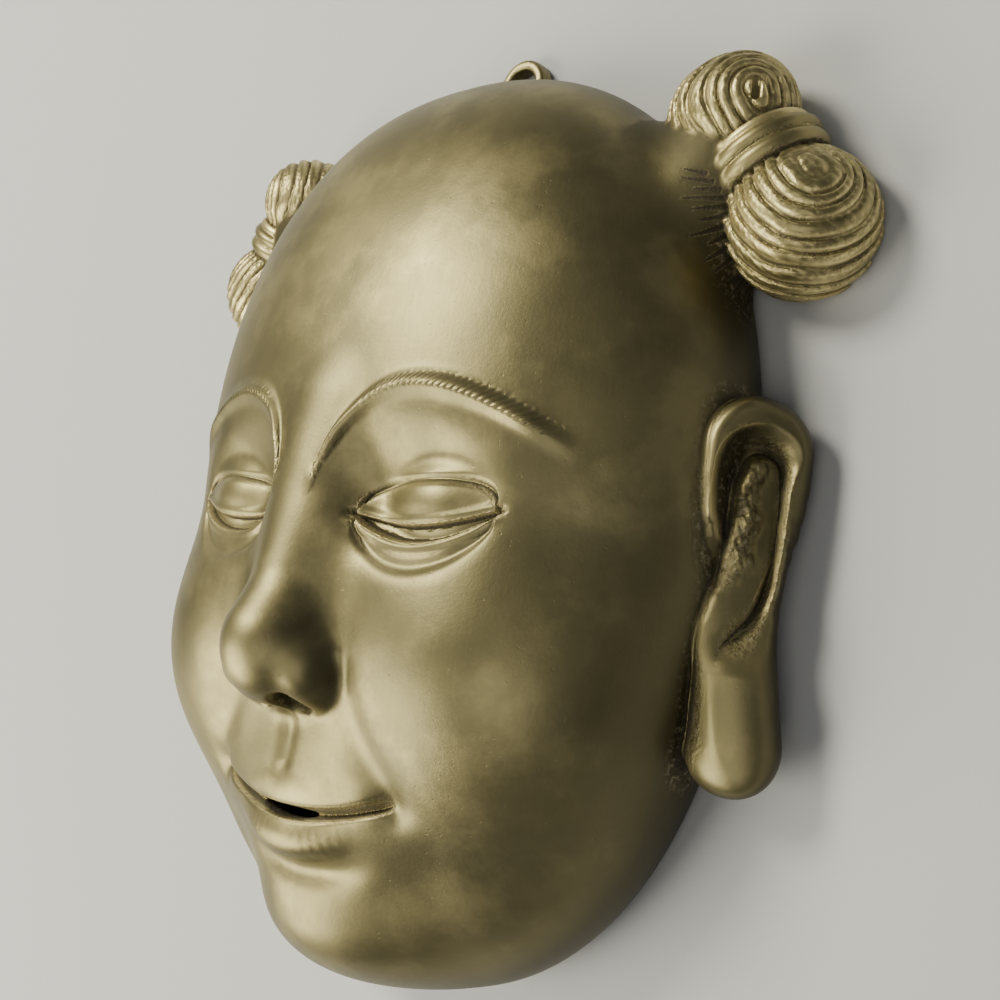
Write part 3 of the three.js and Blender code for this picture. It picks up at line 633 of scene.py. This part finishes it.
# Granular patches that the tools never reached: places in the ear's plate, and a radius
EAR_ROUGH = (
    spline(((5.4, 9.6, 1.8), (5.6, 3, 2.4), (5.4, -4, 2.0), (3.4, -9, 1.0)), 4),
    spline(((12.2, 8, 0.7), (12.3, 0, 0.8), (11.4, -8, 0.9), (9.6, -13.4, 1.4), (6.8, -18.6, 2.6)), 4),
    spline(((-1.9, 8, 0.6), (-2.0, 2, 0.7), (0.6, -8, 0.7), (1.6, -11, 0.6)), 4),
)


def ear_rough(q):
    s, t, out = ear_places(q)
    outside = np.min([outside_row(s, t, row) for row in EAR_ROUGH], axis=0)
    return smoothstep(1.1, -0.3, outside) * smoothstep(-6.5, -5.0, out) * (q[0] > 55)


RING_EDGE, NECK_BLEND = 1.2, 1.0


def ring(q):
    x, y, z = q
    away = np.hypot(x, y - RING_CENTRE_Y)
    slab = np.abs(z - RING_THICKNESS / 2) - RING_THICKNESS / 2
    disc = carve(away - RING_OUTER_RADIUS, -slab, RING_EDGE)
    eye = carve(disc, away - RING_HOLE_RADIUS, RING_EDGE)
    length = np.maximum(y - RING_CENTRE_Y, RING_NECK_FOOT_Y - y)
    neck = np.maximum(np.maximum(x - RING_NECK_HALF_WIDTH, slab), length)
    return carve(melt(eye, neck, NECK_BLEND), away - RING_HOLE_RADIUS, NECK_BLEND)


SLOT_HALF_WIDTH, SLOT_HALF_HEIGHT, SLOT_START = 7.5, 1.1, 15


def mouth_slot(q):
    x, y, z = q
    half = SLOT_HALF_HEIGHT * np.sqrt(np.maximum(1 - 0.9 * (x / SLOT_HALF_WIDTH) ** 2, 0))
    opening = np.abs(y - mouth_line(x)) - half
    return np.maximum(np.maximum(opening, x - SLOT_HALF_WIDTH), SLOT_START - z)


# Blends where knots and ears join the head, at the rim, round the slot and on the back
KNOT_BLEND, EAR_BLEND, RIM_BLEND, SLOT_EDGE, BACK_EDGE = 0.8, 0.9, 1.0, 0.5, 0.6


def casting(p):
    """The whole casting: below zero in the metal."""
    q = [np.abs(p[0]), p[1], p[2]]
    d = head(q)
    d = melt(d, near_only(q, knot, KNOT_BOX), KNOT_BLEND)
    d = melt(d, near_only(q, ear, EAR_BOX), EAR_BLEND)
    d = carve(d, hollow(q), RIM_BLEND)
    d = carve(d, near_only(q, mouth_slot, SLOT_BOX), SLOT_EDGE)
    d = np.minimum(d, near_only(q, ring, RING_BOX))
    return carve(d, q[2], BACK_EDGE)


def field(points, chunk=150000):
    """The casting's field at an array of points."""
    out = np.empty(len(points))
    for start in range(0, len(points), chunk):
        part = points[start:start + chunk]
        out[start:start + chunk] = casting([part[:, 0], part[:, 1], part[:, 2]])
    return out


def features_at(points):
    return features([points[:, 0], points[:, 1], points[:, 2]])


def gradient(points, form=field, step=0.06):
    slopes = np.empty((len(points), 3))
    for axis in range(3):
        offset = np.zeros(3)
        offset[axis] = step
        slopes[:, axis] = (form(points + offset) - form(points - offset)) / (2 * step)
    return slopes


def pull_to_surface(points, form=field, rounds=2, limit=0.2):
    for _ in range(rounds):
        slope = gradient(points, form)
        steepness = np.maximum((slope ** 2).sum(1), 0.05)
        move = np.clip(form(points) / steepness, -limit, limit)
        points = points - slope * move[:, None]
    return points


SCALP_STROKES = scalp_strokes()

# Mesh: its cell, the box round the casting, the boxes round the fine work, where the first mesh
# is twice as fine, and the depth of metal that keeps the fine boxes out of the hollow
CELL = 0.5
MESH_BOX = ((-87.3, -94.0, -1.2), (87.3, 100.0, 63.0))
FINE_BOXES = (
    ((47, 33, 0), (88, 86, 26)),
    ((60, -46, 0), (84, 23, 25)),
    ((8, -14, 20), (54, 28, 62)),
    ((0, -62, 25), (27, -44, 62)),
)
FINE_FROM_HOLLOW = 1
MAX_TRIANGLES = 195000
FAR = 5.0
COARSE_BLOCK, FINE_BLOCK = 8, 2
COARSE_REACH, FINE_REACH = 1.3, 1.8


def cube_steps(count):
    return np.stack(np.meshgrid(*[np.arange(count)] * 3, indexing="ij"), -1).reshape(-1, 3)


def grid_index(corners, steps):
    return tuple((corners[:, None, :] + steps[None]).reshape(-1, 3).T)


def sample_near_surface(low, high, cell):
    """Field values on a grid, worked out only in the blocks that the surface passes through."""
    counts = np.ceil((high - low) / (cell * COARSE_BLOCK)).astype(int)
    corners = np.argwhere(np.ones(counts, bool)) * COARSE_BLOCK
    values = np.full(counts * COARSE_BLOCK + 1, FAR, np.float32)
    for block, reach in ((COARSE_BLOCK, COARSE_REACH), (FINE_BLOCK, FINE_REACH)):
        rough = field(low + (corners + block / 2) * cell)
        for side in (-1, 1):
            values[grid_index(corners[rough * side > 0], cube_steps(block))] = side * FAR
        corners = corners[np.abs(rough) < cell * block * reach]
        if block == COARSE_BLOCK:
            finer = cube_steps(COARSE_BLOCK // FINE_BLOCK) * FINE_BLOCK
            corners = np.stack(grid_index(corners, finer), -1)
    flat = np.unique(np.ravel_multi_index(grid_index(corners, cube_steps(FINE_BLOCK + 1)), values.shape))
    index = np.stack(np.unravel_index(flat, values.shape), -1)
    values.reshape(-1)[flat] = field(low + index * cell)
    return values


def cell_places(values, cells, corners):
    """The mean of the places where the surface crosses each cell's edges."""
    places = np.zeros((len(cells), 3))
    crossings = np.zeros(len(cells))
    for a in corners:
        for axis in range(3):
            if a[axis]:
                continue
            b = list(a)
            b[axis] = 1
            va = values[tuple((cells + a).T)]
            vb = values[tuple((cells + b).T)]
            crossed = (va < 0) != (vb < 0)
            spot = np.tile(np.array(a, float), (len(cells), 1))
            spot[:, axis] = np.where(crossed, va / np.where(crossed, va - vb, 1), 0)
            places += spot * crossed[:, None]
            crossings += crossed
    return cells + places / crossings[:, None]


def crossed_quads(inside, number, axis):
    """A quad round each grid edge along one axis that the surface crosses."""
    u, v = [(1, 2), (2, 0), (0, 1)][axis]
    ahead = [slice(None)] * 3
    ahead[axis] = slice(1, None)
    behind = [slice(None)] * 3
    behind[axis] = slice(None, -1)
    edges = np.argwhere(inside[tuple(behind)] != inside[tuple(ahead)])
    keep = (edges[:, u] > 0) & (edges[:, v] > 0)
    keep &= (edges[:, u] < number.shape[u]) & (edges[:, v] < number.shape[v])
    edges = edges[keep]
    leaves = inside[tuple(edges.T)]
    steps = np.zeros((4, 3), int)
    steps[1, u] = steps[2, u] = steps[2, v] = steps[3, v] = -1
    loop = np.stack([number[tuple((edges + s).T)] for s in steps], 1)
    loop[~leaves] = loop[~leaves][:, ::-1]
    return loop


def net_surface(values, low, cell):
    """One vertex for each grid cell that the surface crosses, and a quad for each crossed edge."""
    inside = values < 0
    shape = np.array(values.shape) - 1
    corners = [(i, j, k) for i in (0, 1) for j in (0, 1) for k in (0, 1)]
    total = np.zeros(shape, np.int8)
    for i, j, k in corners:
        total += inside[i:i + shape[0], j:j + shape[1], k:k + shape[2]]
    cells = np.argwhere((total > 0) & (total < 8))
    number = np.full(shape, -1, np.int64)
    number[tuple(cells.T)] = np.arange(len(cells))
    places = low + cell_places(values, cells, corners) * cell
    return places, np.vstack([crossed_quads(inside, number, axis) for axis in range(3)])


def new_object(name, places, faces):
    mesh = bpy.data.meshes.new(name)
    mesh.from_pydata([], [], [])
    mesh.vertices.add(len(places))
    mesh.vertices.foreach_set("co", np.asarray(places, np.float32).ravel())
    corners = faces.shape[1]
    mesh.loops.add(faces.size)
    mesh.loops.foreach_set("vertex_index", faces.ravel().astype(np.int32))
    mesh.polygons.add(len(faces))
    mesh.polygons.foreach_set("loop_start", np.arange(0, faces.size, corners, dtype=np.int32))
    mesh.update(calc_edges=True)
    mesh.validate()
    piece = bpy.data.objects.new(name, mesh)
    bpy.context.scene.collection.objects.link(piece)
    return piece


def thin_out(piece, ratio):
    modifier = piece.modifiers.new("thin_out", "DECIMATE")
    modifier.ratio = ratio
    bpy.context.view_layer.objects.active = piece
    bpy.ops.object.modifier_apply(modifier=modifier.name)


def mesh_points(mesh):
    co = np.empty(len(mesh.vertices) * 3, np.float32)
    mesh.vertices.foreach_get("co", co)
    return co.reshape(-1, 3).astype(float)


def to_part(points):
    return (points + np.array((0, SHIFT_Y, 0))) * MM


def to_mask(points):
    return points / MM - np.array((0, SHIFT_Y, 0))


def in_fine_work(points):
    q = folded(points)
    fine = np.any([in_box(q, box) for box in FINE_BOXES], axis=0)
    return fine & (hollow(q) > FINE_FROM_HOLLOW)


def split_where(places, triangles, fine):
    """Halves each edge whose two ends are fine places; triangles with one or three halves split."""
    pairs = np.sort(np.stack([triangles, np.roll(triangles, -1, 1)], -1), -1).reshape(-1, 2)
    halved = fine[pairs].all(1)
    edges, number = np.unique(pairs[halved] @ (len(places), 1), return_inverse=True)
    edges = np.stack([edges // len(places), edges % len(places)], -1)
    middle = np.full(len(pairs), -1)
    middle[halved] = len(places) + number
    middle = middle.reshape(-1, 3)
    count = (middle >= 0).sum(1)
    a, b, c = triangles[count == 3].T
    ab, bc, ca = middle[count == 3].T
    parts = [(a, ab, ca), (ab, b, bc), (ca, bc, c), (ab, bc, ca)]
    halves, middles = triangles[count == 1], middle[count == 1]
    rows, turn = np.arange(len(halves)), middles.argmax(1)
    a, b, c = [halves[rows, (turn + step) % 3] for step in range(3)]
    ab = middles[rows, turn]
    parts += [(a, ab, c), (ab, b, c)]
    triangles = np.vstack([triangles[count == 0], *[np.stack(part, 1) for part in parts]])
    return np.vstack([places, places[edges].mean(1)]), triangles


def casting_object():
    low, high = np.array(MESH_BOX)
    values = sample_near_surface(low, high, CELL)
    places, quads = net_surface(values, low, CELL)
    triangles = np.vstack([quads[:, [0, 1, 2]], quads[:, [0, 2, 3]]])
    places, triangles = split_where(places, triangles, in_fine_work(places))
    fine = in_fine_work(places)
    places[fine] = pull_to_surface(places[fine], rounds=1)
    piece = new_object("brass_mask", to_part(places), triangles)
    count = len(piece.data.polygons)
    if count > MAX_TRIANGLES:
        thin_out(piece, MAX_TRIANGLES / count)
    places = pull_to_surface(to_mask(mesh_points(piece.data)))
    piece.data.vertices.foreach_set("co", to_part(places).astype(np.float32).ravel())
    piece.data.update()
    return piece


# Reaches, in millimetres, that tell recesses, crests and enclosed places apart
RECESS_REACHES = (0.7, 1.4, 2.8)
CREST_REACHES = (0.5, 1.4)
ENCLOSED_REACHES = (4.0, 8.0)

# Where each number of the finish rises from none to full: distances in millimetres from the
# hollow and the knot, the normal's rise, the share of enclosing metal, and the fan's depth
INSIDE_RANGE = (0.9, 0.2)
HAIR_RANGE = (0.8, -0.4)
SHADED_RANGE = (11, 3)
FRONT_LIT_RANGE = (0.1, 0.8)
GRANULAR_RANGE = (0.28, 0.7)
FAN_RANGE = (0.02, 0.12)
FAN_DARK_FROM, FAN_DARKENING = 0.08, 1.6
FAN_WEAR_AND_HIGHLIGHT_LOSS, SHADED_LOSS = 0.85, 0.9


def add_number(mesh, name, values):
    attribute = mesh.attributes.new(name, "FLOAT", "POINT")
    attribute.data.foreach_set("value", np.asarray(values, np.float32))


def closeness(points, normals, steepness, reaches):
    """How much metal stands near each point along its normal; reaches below zero look inwards."""
    return sum(1 - field(points + normals * e) / (steepness * e) for e in reaches) / len(reaches)


def dress_surface(piece):
    """Smooth normals and the numbers that the finish reads."""
    mesh = piece.data
    points = to_mask(mesh_points(mesh))
    normals = gradient(points, step=0.1)
    steepness = np.maximum(np.linalg.norm(normals, axis=1), 0.1)
    normals /= steepness[:, None]
    mesh.polygons.foreach_set("use_smooth", np.ones(len(mesh.polygons), bool))
    mesh.normals_split_custom_set_from_vertices(normals.astype(np.float32))
    # How closely metal encloses each point, as occlusion does. The colour darkens by it, partly as
    # patina and partly as painted shade.
    recess = closeness(points, normals, steepness, RECESS_REACHES)
    crest = closeness(points, normals, steepness, [-reach for reach in CREST_REACHES])
    enclosed = closeness(points, normals, steepness, ENCLOSED_REACHES)
    q = folded(points)
    fan = fan_depth(q)
    from_knot = near_only(q, knot, KNOT_BOX)
    hair = smoothstep(*HAIR_RANGE, from_knot)
    # Near the knot the head gets painted shade, through a smaller share of the front colour, and a
    # rougher finish
    shaded = smoothstep(*SHADED_RANGE, from_knot)
    # Painted shade: the share of the front colour falls where the normal turns away from the front and
    # near the knot, and the dark side colour shows there instead. The same share keeps the worn patches
    # to the front.
    front_lit_and_worn = smoothstep(*FRONT_LIT_RANGE, normals[:, 2]) * (1 - SHADED_LOSS * shaded)
    # The fan's cuts darken, partly as patina and partly as painted shade in them
    recess = recess + FAN_DARKENING * np.maximum(fan - FAN_DARK_FROM, 0)
    # Near the fan's cuts the crests lose their wear and painted highlight
    crest = crest * (1 - FAN_WEAR_AND_HIGHLIGHT_LOSS * smoothstep(*FAN_RANGE, np.abs(fan)))
    add_number(mesh, "recess", np.clip(recess, 0, 1))
    add_number(mesh, "crest", np.clip(crest, 0, 1))
    add_number(mesh, "inside", smoothstep(*INSIDE_RANGE, np.abs(hollow(q))))
    add_number(mesh, "hair", hair)
    add_number(mesh, "front_lit_and_worn", front_lit_and_worn)
    add_number(mesh, "shaded", shaded * (1 - hair))
    add_number(mesh, "granular", np.maximum(ear_rough(q), smoothstep(*GRANULAR_RANGE, enclosed)))


# Colours of the aged brass
OLIVE_DARK = (0.178, 0.157, 0.083, 1)
OLIVE_LIGHT = (0.27, 0.234, 0.117, 1)
# Painted shade: the dark colour given to sides turned away from the front, and to the head near the knot
PAINTED_SIDE_SHADE = (0.080, 0.071, 0.041, 1)
OLIVE_HAIR = (0.34, 0.292, 0.142, 1)
# Rubbed brass on worn places, also used as a painted highlight along crests and hair
RUBBED_AND_HIGHLIGHT = (0.92, 0.78, 0.38, 1)
RESIDUE = (0.34, 0.30, 0.21, 1)
# Dark patina in recesses and cuts, which also paints the shade that falls there
GRIME_AND_SHADE = (0.052, 0.043, 0.028, 1)
BACK_BROWN = (0.13, 0.10, 0.06, 1)

# Noises of the finish: about how many of their spots go to a metre
CLOUD_SCALE = 34.0
PATCH_SCALE = 55.0
MOTTLE_SCALE = 160.0
FLECK_SCALE = 620.0
RESIDUE_SCALE = 900.0
PIT_SCALE = 1100.0
STREAK_SCALE = 1300.0
GRAIN_SCALE = 1400.0
STREAK_STRETCH = (1.0, 0.08, 1.0)

# Where a noise or a sum of marks turns into a full patch of the finish
CLOUD_RANGE = (0.3, 0.7)
WEAR_AND_HIGHLIGHT_RANGE = (0.2, 0.75)
PATCH_RANGE = (0.46, 0.68)
GRIME_AND_SHADE_RANGE = (0.38, 0.82)
RESIDUE_RANGE = (0.52, 0.66)
SPECK_RANGE = (0.5, 0.62)
PIT_RANGE = (0.72, 0.80)

# The most that a patch covers of what lies under it
PATCH_SHARE = 0.16
BACK_SHARE = 0.75
RESIDUE_SHARE = 0.6
GRIME_AND_SHADE_SHARE = 0.8
SPECK_SHARE = 0.5

# Roughness, metal and relief of the brass
BASE_ROUGHNESS = 0.35
METAL_SHARE, GRIME_AND_SHADE_METAL_LOSS = 0.94, 0.6
GRAIN_HEIGHT, STREAK_HEIGHT, PIT_HEIGHT = 0.08, 0.03, -0.06
BUMP_STRENGTH, BUMP_DEPTH = 0.5, 0.0006


def node(tree, kind, inputs=None, **settings):
    made = tree.nodes.new(kind)
    for key, value in settings.items():
        setattr(made, key, value)
    for key, value in (inputs or {}).items():
        socket = made.inputs[key]
        if isinstance(value, bpy.types.NodeSocket):
            tree.links.new(value, socket)
        else:
            socket.default_value = value
    return made


def number_of(tree, name):
    return node(tree, "ShaderNodeAttribute", attribute_name=name).outputs["Fac"]


def times(tree, a, b):
    return node(tree, "ShaderNodeMath", {0: a, 1: b}, operation="MULTIPLY").outputs[0]


def plus(tree, *terms):
    total = terms[0]
    for term in terms[1:]:
        total = node(tree, "ShaderNodeMath", {0: total, 1: term}, operation="ADD").outputs[0]
    return total


def spread(tree, value, low, high):
    made = node(tree, "ShaderNodeMapRange", {"Value": value, "From Min": low, "From Max": high})
    made.interpolation_type = "SMOOTHSTEP"
    return made.outputs["Result"]


def mix_colour(tree, factor, a, b):
    factor_socket, a_socket, b_socket = 0, 6, 7
    inputs = {factor_socket: factor, a_socket: a, b_socket: b}
    return node(tree, "ShaderNodeMix", inputs, data_type="RGBA").outputs[2]


def noise(tree, place, scale, detail=4.0, roughness=0.55):
    inputs = {"Vector": place, "Scale": scale, "Detail": detail, "Roughness": roughness}
    return node(tree, "ShaderNodeTexNoise", inputs).outputs["Fac"]


def brass_wear_and_highlight(tree, place, mottle, marks):
    """Where the brass is rubbed bright, partly as a painted highlight: on crests, most of all on hair,
    and in faint patches.
    """
    edges = plus(tree, marks["crest"], times(tree, mottle, 0.3), times(tree, marks["hair"], 0.15))
    edges = spread(tree, edges, *WEAR_AND_HIGHLIGHT_RANGE)
    patches = spread(tree, noise(tree, place, PATCH_SCALE, 5.0, 0.6), *PATCH_RANGE)
    patches = times(tree, times(tree, patches, marks["front_lit_and_worn"]), PATCH_SHARE)
    on_edges = times(tree, edges, plus(tree, times(tree, marks["hair"], 0.45), 0.5))
    return edges, plus(tree, on_edges, patches)


def brass_grime_and_shade(tree, place, mottle, edges, marks):
    """Dark patina in the recesses and cuts, partly painted shade, kept off the rubbed crests and their
    painted highlight.
    """
    fleck = noise(tree, place, FLECK_SCALE, 3.0, 0.6)
    uneven = times(tree, plus(tree, fleck, times(tree, mottle, 0.6)), 0.22)
    grime_and_shade = spread(tree, plus(tree, marks["recess"], uneven), *GRIME_AND_SHADE_RANGE)
    kept = plus(tree, times(tree, marks["hair"], -0.1), 1.0, times(tree, edges, -0.6))
    return times(tree, grime_and_shade, kept)


def brass_colour(tree, place, cloud, grain, worn, grime_and_shade, marks):
    front = mix_colour(tree, spread(tree, cloud, *CLOUD_RANGE), OLIVE_DARK, OLIVE_LIGHT)
    # Painted shade on the sides turned away from the front
    skin_with_painted_shade = mix_colour(tree, marks["front_lit_and_worn"], PAINTED_SIDE_SHADE, front)
    olive = mix_colour(tree, marks["hair"], skin_with_painted_shade, OLIVE_HAIR)
    # Rubbed brass and painted highlight on crests and hair
    bright = mix_colour(tree, worn, olive, RUBBED_AND_HIGHLIGHT)
    dulled = mix_colour(tree, times(tree, marks["inside"], BACK_SHARE), bright, BACK_BROWN)
    residue = spread(tree, noise(tree, place, RESIDUE_SCALE, 2.0), *RESIDUE_RANGE)
    residue = times(tree, marks["granular"], residue)
    dusty = mix_colour(tree, times(tree, residue, RESIDUE_SHARE), dulled, RESIDUE)
    specks = times(tree, marks["granular"], spread(tree, grain, *SPECK_RANGE))
    # Dark patina and painted shade in the recesses, and dark specks in granular patches
    both = {0: times(tree, grime_and_shade, GRIME_AND_SHADE_SHARE), 1: times(tree, specks, SPECK_SHARE)}
    dirt_and_shade = node(tree, "ShaderNodeMath", both, operation="MAXIMUM").outputs[0]
    return mix_colour(tree, dirt_and_shade, dusty, GRIME_AND_SHADE)


def brass_roughness(tree, cloud, streak, worn, grime_and_shade, marks):
    shares = (
        (cloud, 0.12), (streak, 0.06), (grime_and_shade, 0.3), (worn, -0.05), (marks["inside"], 0.14),
        (marks["granular"], 0.08), (marks["shaded"], 0.16), (marks["hair"], -0.06),
    )
    terms = [times(tree, value, share) for value, share in shares]
    return plus(tree, *terms, BASE_ROUGHNESS)


def brass_relief(tree, place, grain, streak, grime_and_shade, marks):
    pits = spread(tree, noise(tree, place, PIT_SCALE, 1.0, 0.4), *PIT_RANGE)
    inside = times(tree, marks["inside"], 0.7)
    granular = times(tree, marks["granular"], 0.9)
    grains = times(tree, plus(tree, grime_and_shade, inside, granular, GRAIN_HEIGHT), grain)
    relief = plus(tree, grains, times(tree, streak, STREAK_HEIGHT), times(tree, pits, PIT_HEIGHT))
    bump = {"Strength": BUMP_STRENGTH, "Distance": BUMP_DEPTH, "Height": relief}
    return node(tree, "ShaderNodeBump", bump).outputs["Normal"]


def aged_brass():
    material = bpy.data.materials.new("aged_brass")
    material.use_nodes = True
    tree = material.node_tree
    shader = tree.nodes["Principled BSDF"]
    names = ("recess", "crest", "hair", "inside", "front_lit_and_worn", "shaded", "granular")
    marks = {name: number_of(tree, name) for name in names}
    place = node(tree, "ShaderNodeTexCoord").outputs["Object"]
    cloud = noise(tree, place, CLOUD_SCALE, 5.0)
    mottle = noise(tree, place, MOTTLE_SCALE, 4.0, 0.6)
    grain = noise(tree, place, GRAIN_SCALE, 3.0, 0.7)
    stretched = node(tree, "ShaderNodeMapping", {"Vector": place, "Scale": STREAK_STRETCH}).outputs[0]
    streak = noise(tree, stretched, STREAK_SCALE, 3.0, 0.6)
    # edges and worn: rubbed wear on crests, hair and patches, partly a painted highlight
    edges, worn = brass_wear_and_highlight(tree, place, mottle, marks)
    grime_and_shade = brass_grime_and_shade(tree, place, mottle, edges, marks)
    results = {
        "Base Color": brass_colour(tree, place, cloud, grain, worn, grime_and_shade, marks),
        "Roughness": brass_roughness(tree, cloud, streak, worn, grime_and_shade, marks),
        "Normal": brass_relief(tree, place, grain, streak, grime_and_shade, marks),
        "Metallic": plus(tree, times(tree, grime_and_shade, -GRIME_AND_SHADE_METAL_LOSS), METAL_SHARE),
    }
    for name, result in results.items():
        tree.links.new(result, shader.inputs[name])
    return material


def plain_material(name, colour, roughness):
    material = bpy.data.materials.new(name)
    material.use_nodes = True
    shader = material.node_tree.nodes["Principled BSDF"]
    shader.inputs["Base Color"].default_value = colour
    shader.inputs["Roughness"].default_value = roughness
    return material


# The photograph's camera, from the head's symmetry: azimuth round the face's y axis from
# straight in front, elevation, roll, distance and focal length in picture widths
CAMERA_AZIMUTH = math.radians(43.25)
CAMERA_ELEVATION = math.radians(-4.31)
CAMERA_ROLL = math.radians(5.86)
CAMERA_TARGET = Vector((19.63, 2.60, 18.0))
CAMERA_DISTANCE = 241.85
CAMERA_FOCAL = 1.28117
SENSOR = 36.0
NEAREST_SEEN = 0.005


def make_camera():
    forward = -Vector((
        math.sin(CAMERA_AZIMUTH) * math.cos(CAMERA_ELEVATION),
        math.sin(CAMERA_ELEVATION),
        math.cos(CAMERA_AZIMUTH) * math.cos(CAMERA_ELEVATION),
    ))
    right = forward.cross(Vector((0, 1, 0))).normalized()
    upward = right.cross(forward)
    turned_right = right * math.cos(CAMERA_ROLL) + upward * math.sin(CAMERA_ROLL)
    turned_up = -right * math.sin(CAMERA_ROLL) + upward * math.cos(CAMERA_ROLL)
    place = (CAMERA_TARGET - forward * CAMERA_DISTANCE + Vector((0, SHIFT_Y, 0))) * MM
    rotation = Matrix((turned_right, turned_up, -forward)).transposed().to_4x4()
    data = bpy.data.cameras.new("camera")
    data.sensor_width = SENSOR
    data.lens = SENSOR * CAMERA_FOCAL
    data.clip_start = NEAREST_SEEN
    camera = bpy.data.objects.new("camera", data)
    camera.matrix_world = Matrix.Translation(place) @ rotation
    bpy.context.scene.collection.objects.link(camera)
    bpy.context.scene.camera = camera


# Floor and lights, in metres: a light has a direction, a distance, a size, a power and a colour
FLOOR_HALF = 1.5
FLOOR_SINK = 0.00005
FLOOR_COLOUR, FLOOR_ROUGHNESS = (0.54, 0.545, 0.56, 1), 0.7
WARM = (1.0, 0.955, 0.77)
LIGHTS = {
    "key": ((-0.40, 0.50, 0.78), 0.9, 0.34, 8.0, WARM),
    "front": ((-0.62, -0.50, 0.70), 1.0, 0.85, 13.5, WARM),
    "fill": ((0.42, -0.30, 0.86), 1.1, 0.8, 2.2, (1.0, 0.97, 0.86)),
}
SKY_COLOUR, SKY_STRENGTH = (0.80, 0.84, 0.90, 1), 0.13


def make_floor():
    turns = ((-1, -1), (1, -1), (1, 1), (-1, 1))
    corners = np.array([(x * FLOOR_HALF, y * FLOOR_HALF, -FLOOR_SINK) for x, y in turns])
    floor = new_object("floor", corners, np.array([(0, 1, 2, 3)]))
    floor.data.materials.append(plain_material("pale_floor", FLOOR_COLOUR, FLOOR_ROUGHNESS))


def area_light(name, direction, distance, size, power, colour):
    data = bpy.data.lights.new(name, "AREA")
    data.shape = "DISK"
    data.size = size
    data.energy = power
    data.color = colour
    light = bpy.data.objects.new(name, data)
    aim = Vector(direction).normalized()
    light.location = aim * distance
    light.rotation_euler = aim.to_track_quat("Z", "Y").to_euler()
    bpy.context.scene.collection.objects.link(light)


def make_lights():
    for name, light in LIGHTS.items():
        area_light(name, *light)
    world = bpy.data.worlds.new("studio")
    world.use_nodes = True
    background = world.node_tree.nodes["Background"]
    background.inputs["Color"].default_value = SKY_COLOUR
    background.inputs["Strength"].default_value = SKY_STRENGTH
    bpy.context.scene.world = world


make_camera()
make_floor()
make_lights()
mask = casting_object()
dress_surface(mask)
mask.data.materials.append(aged_brass())
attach(mask, "root")
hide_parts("mask")
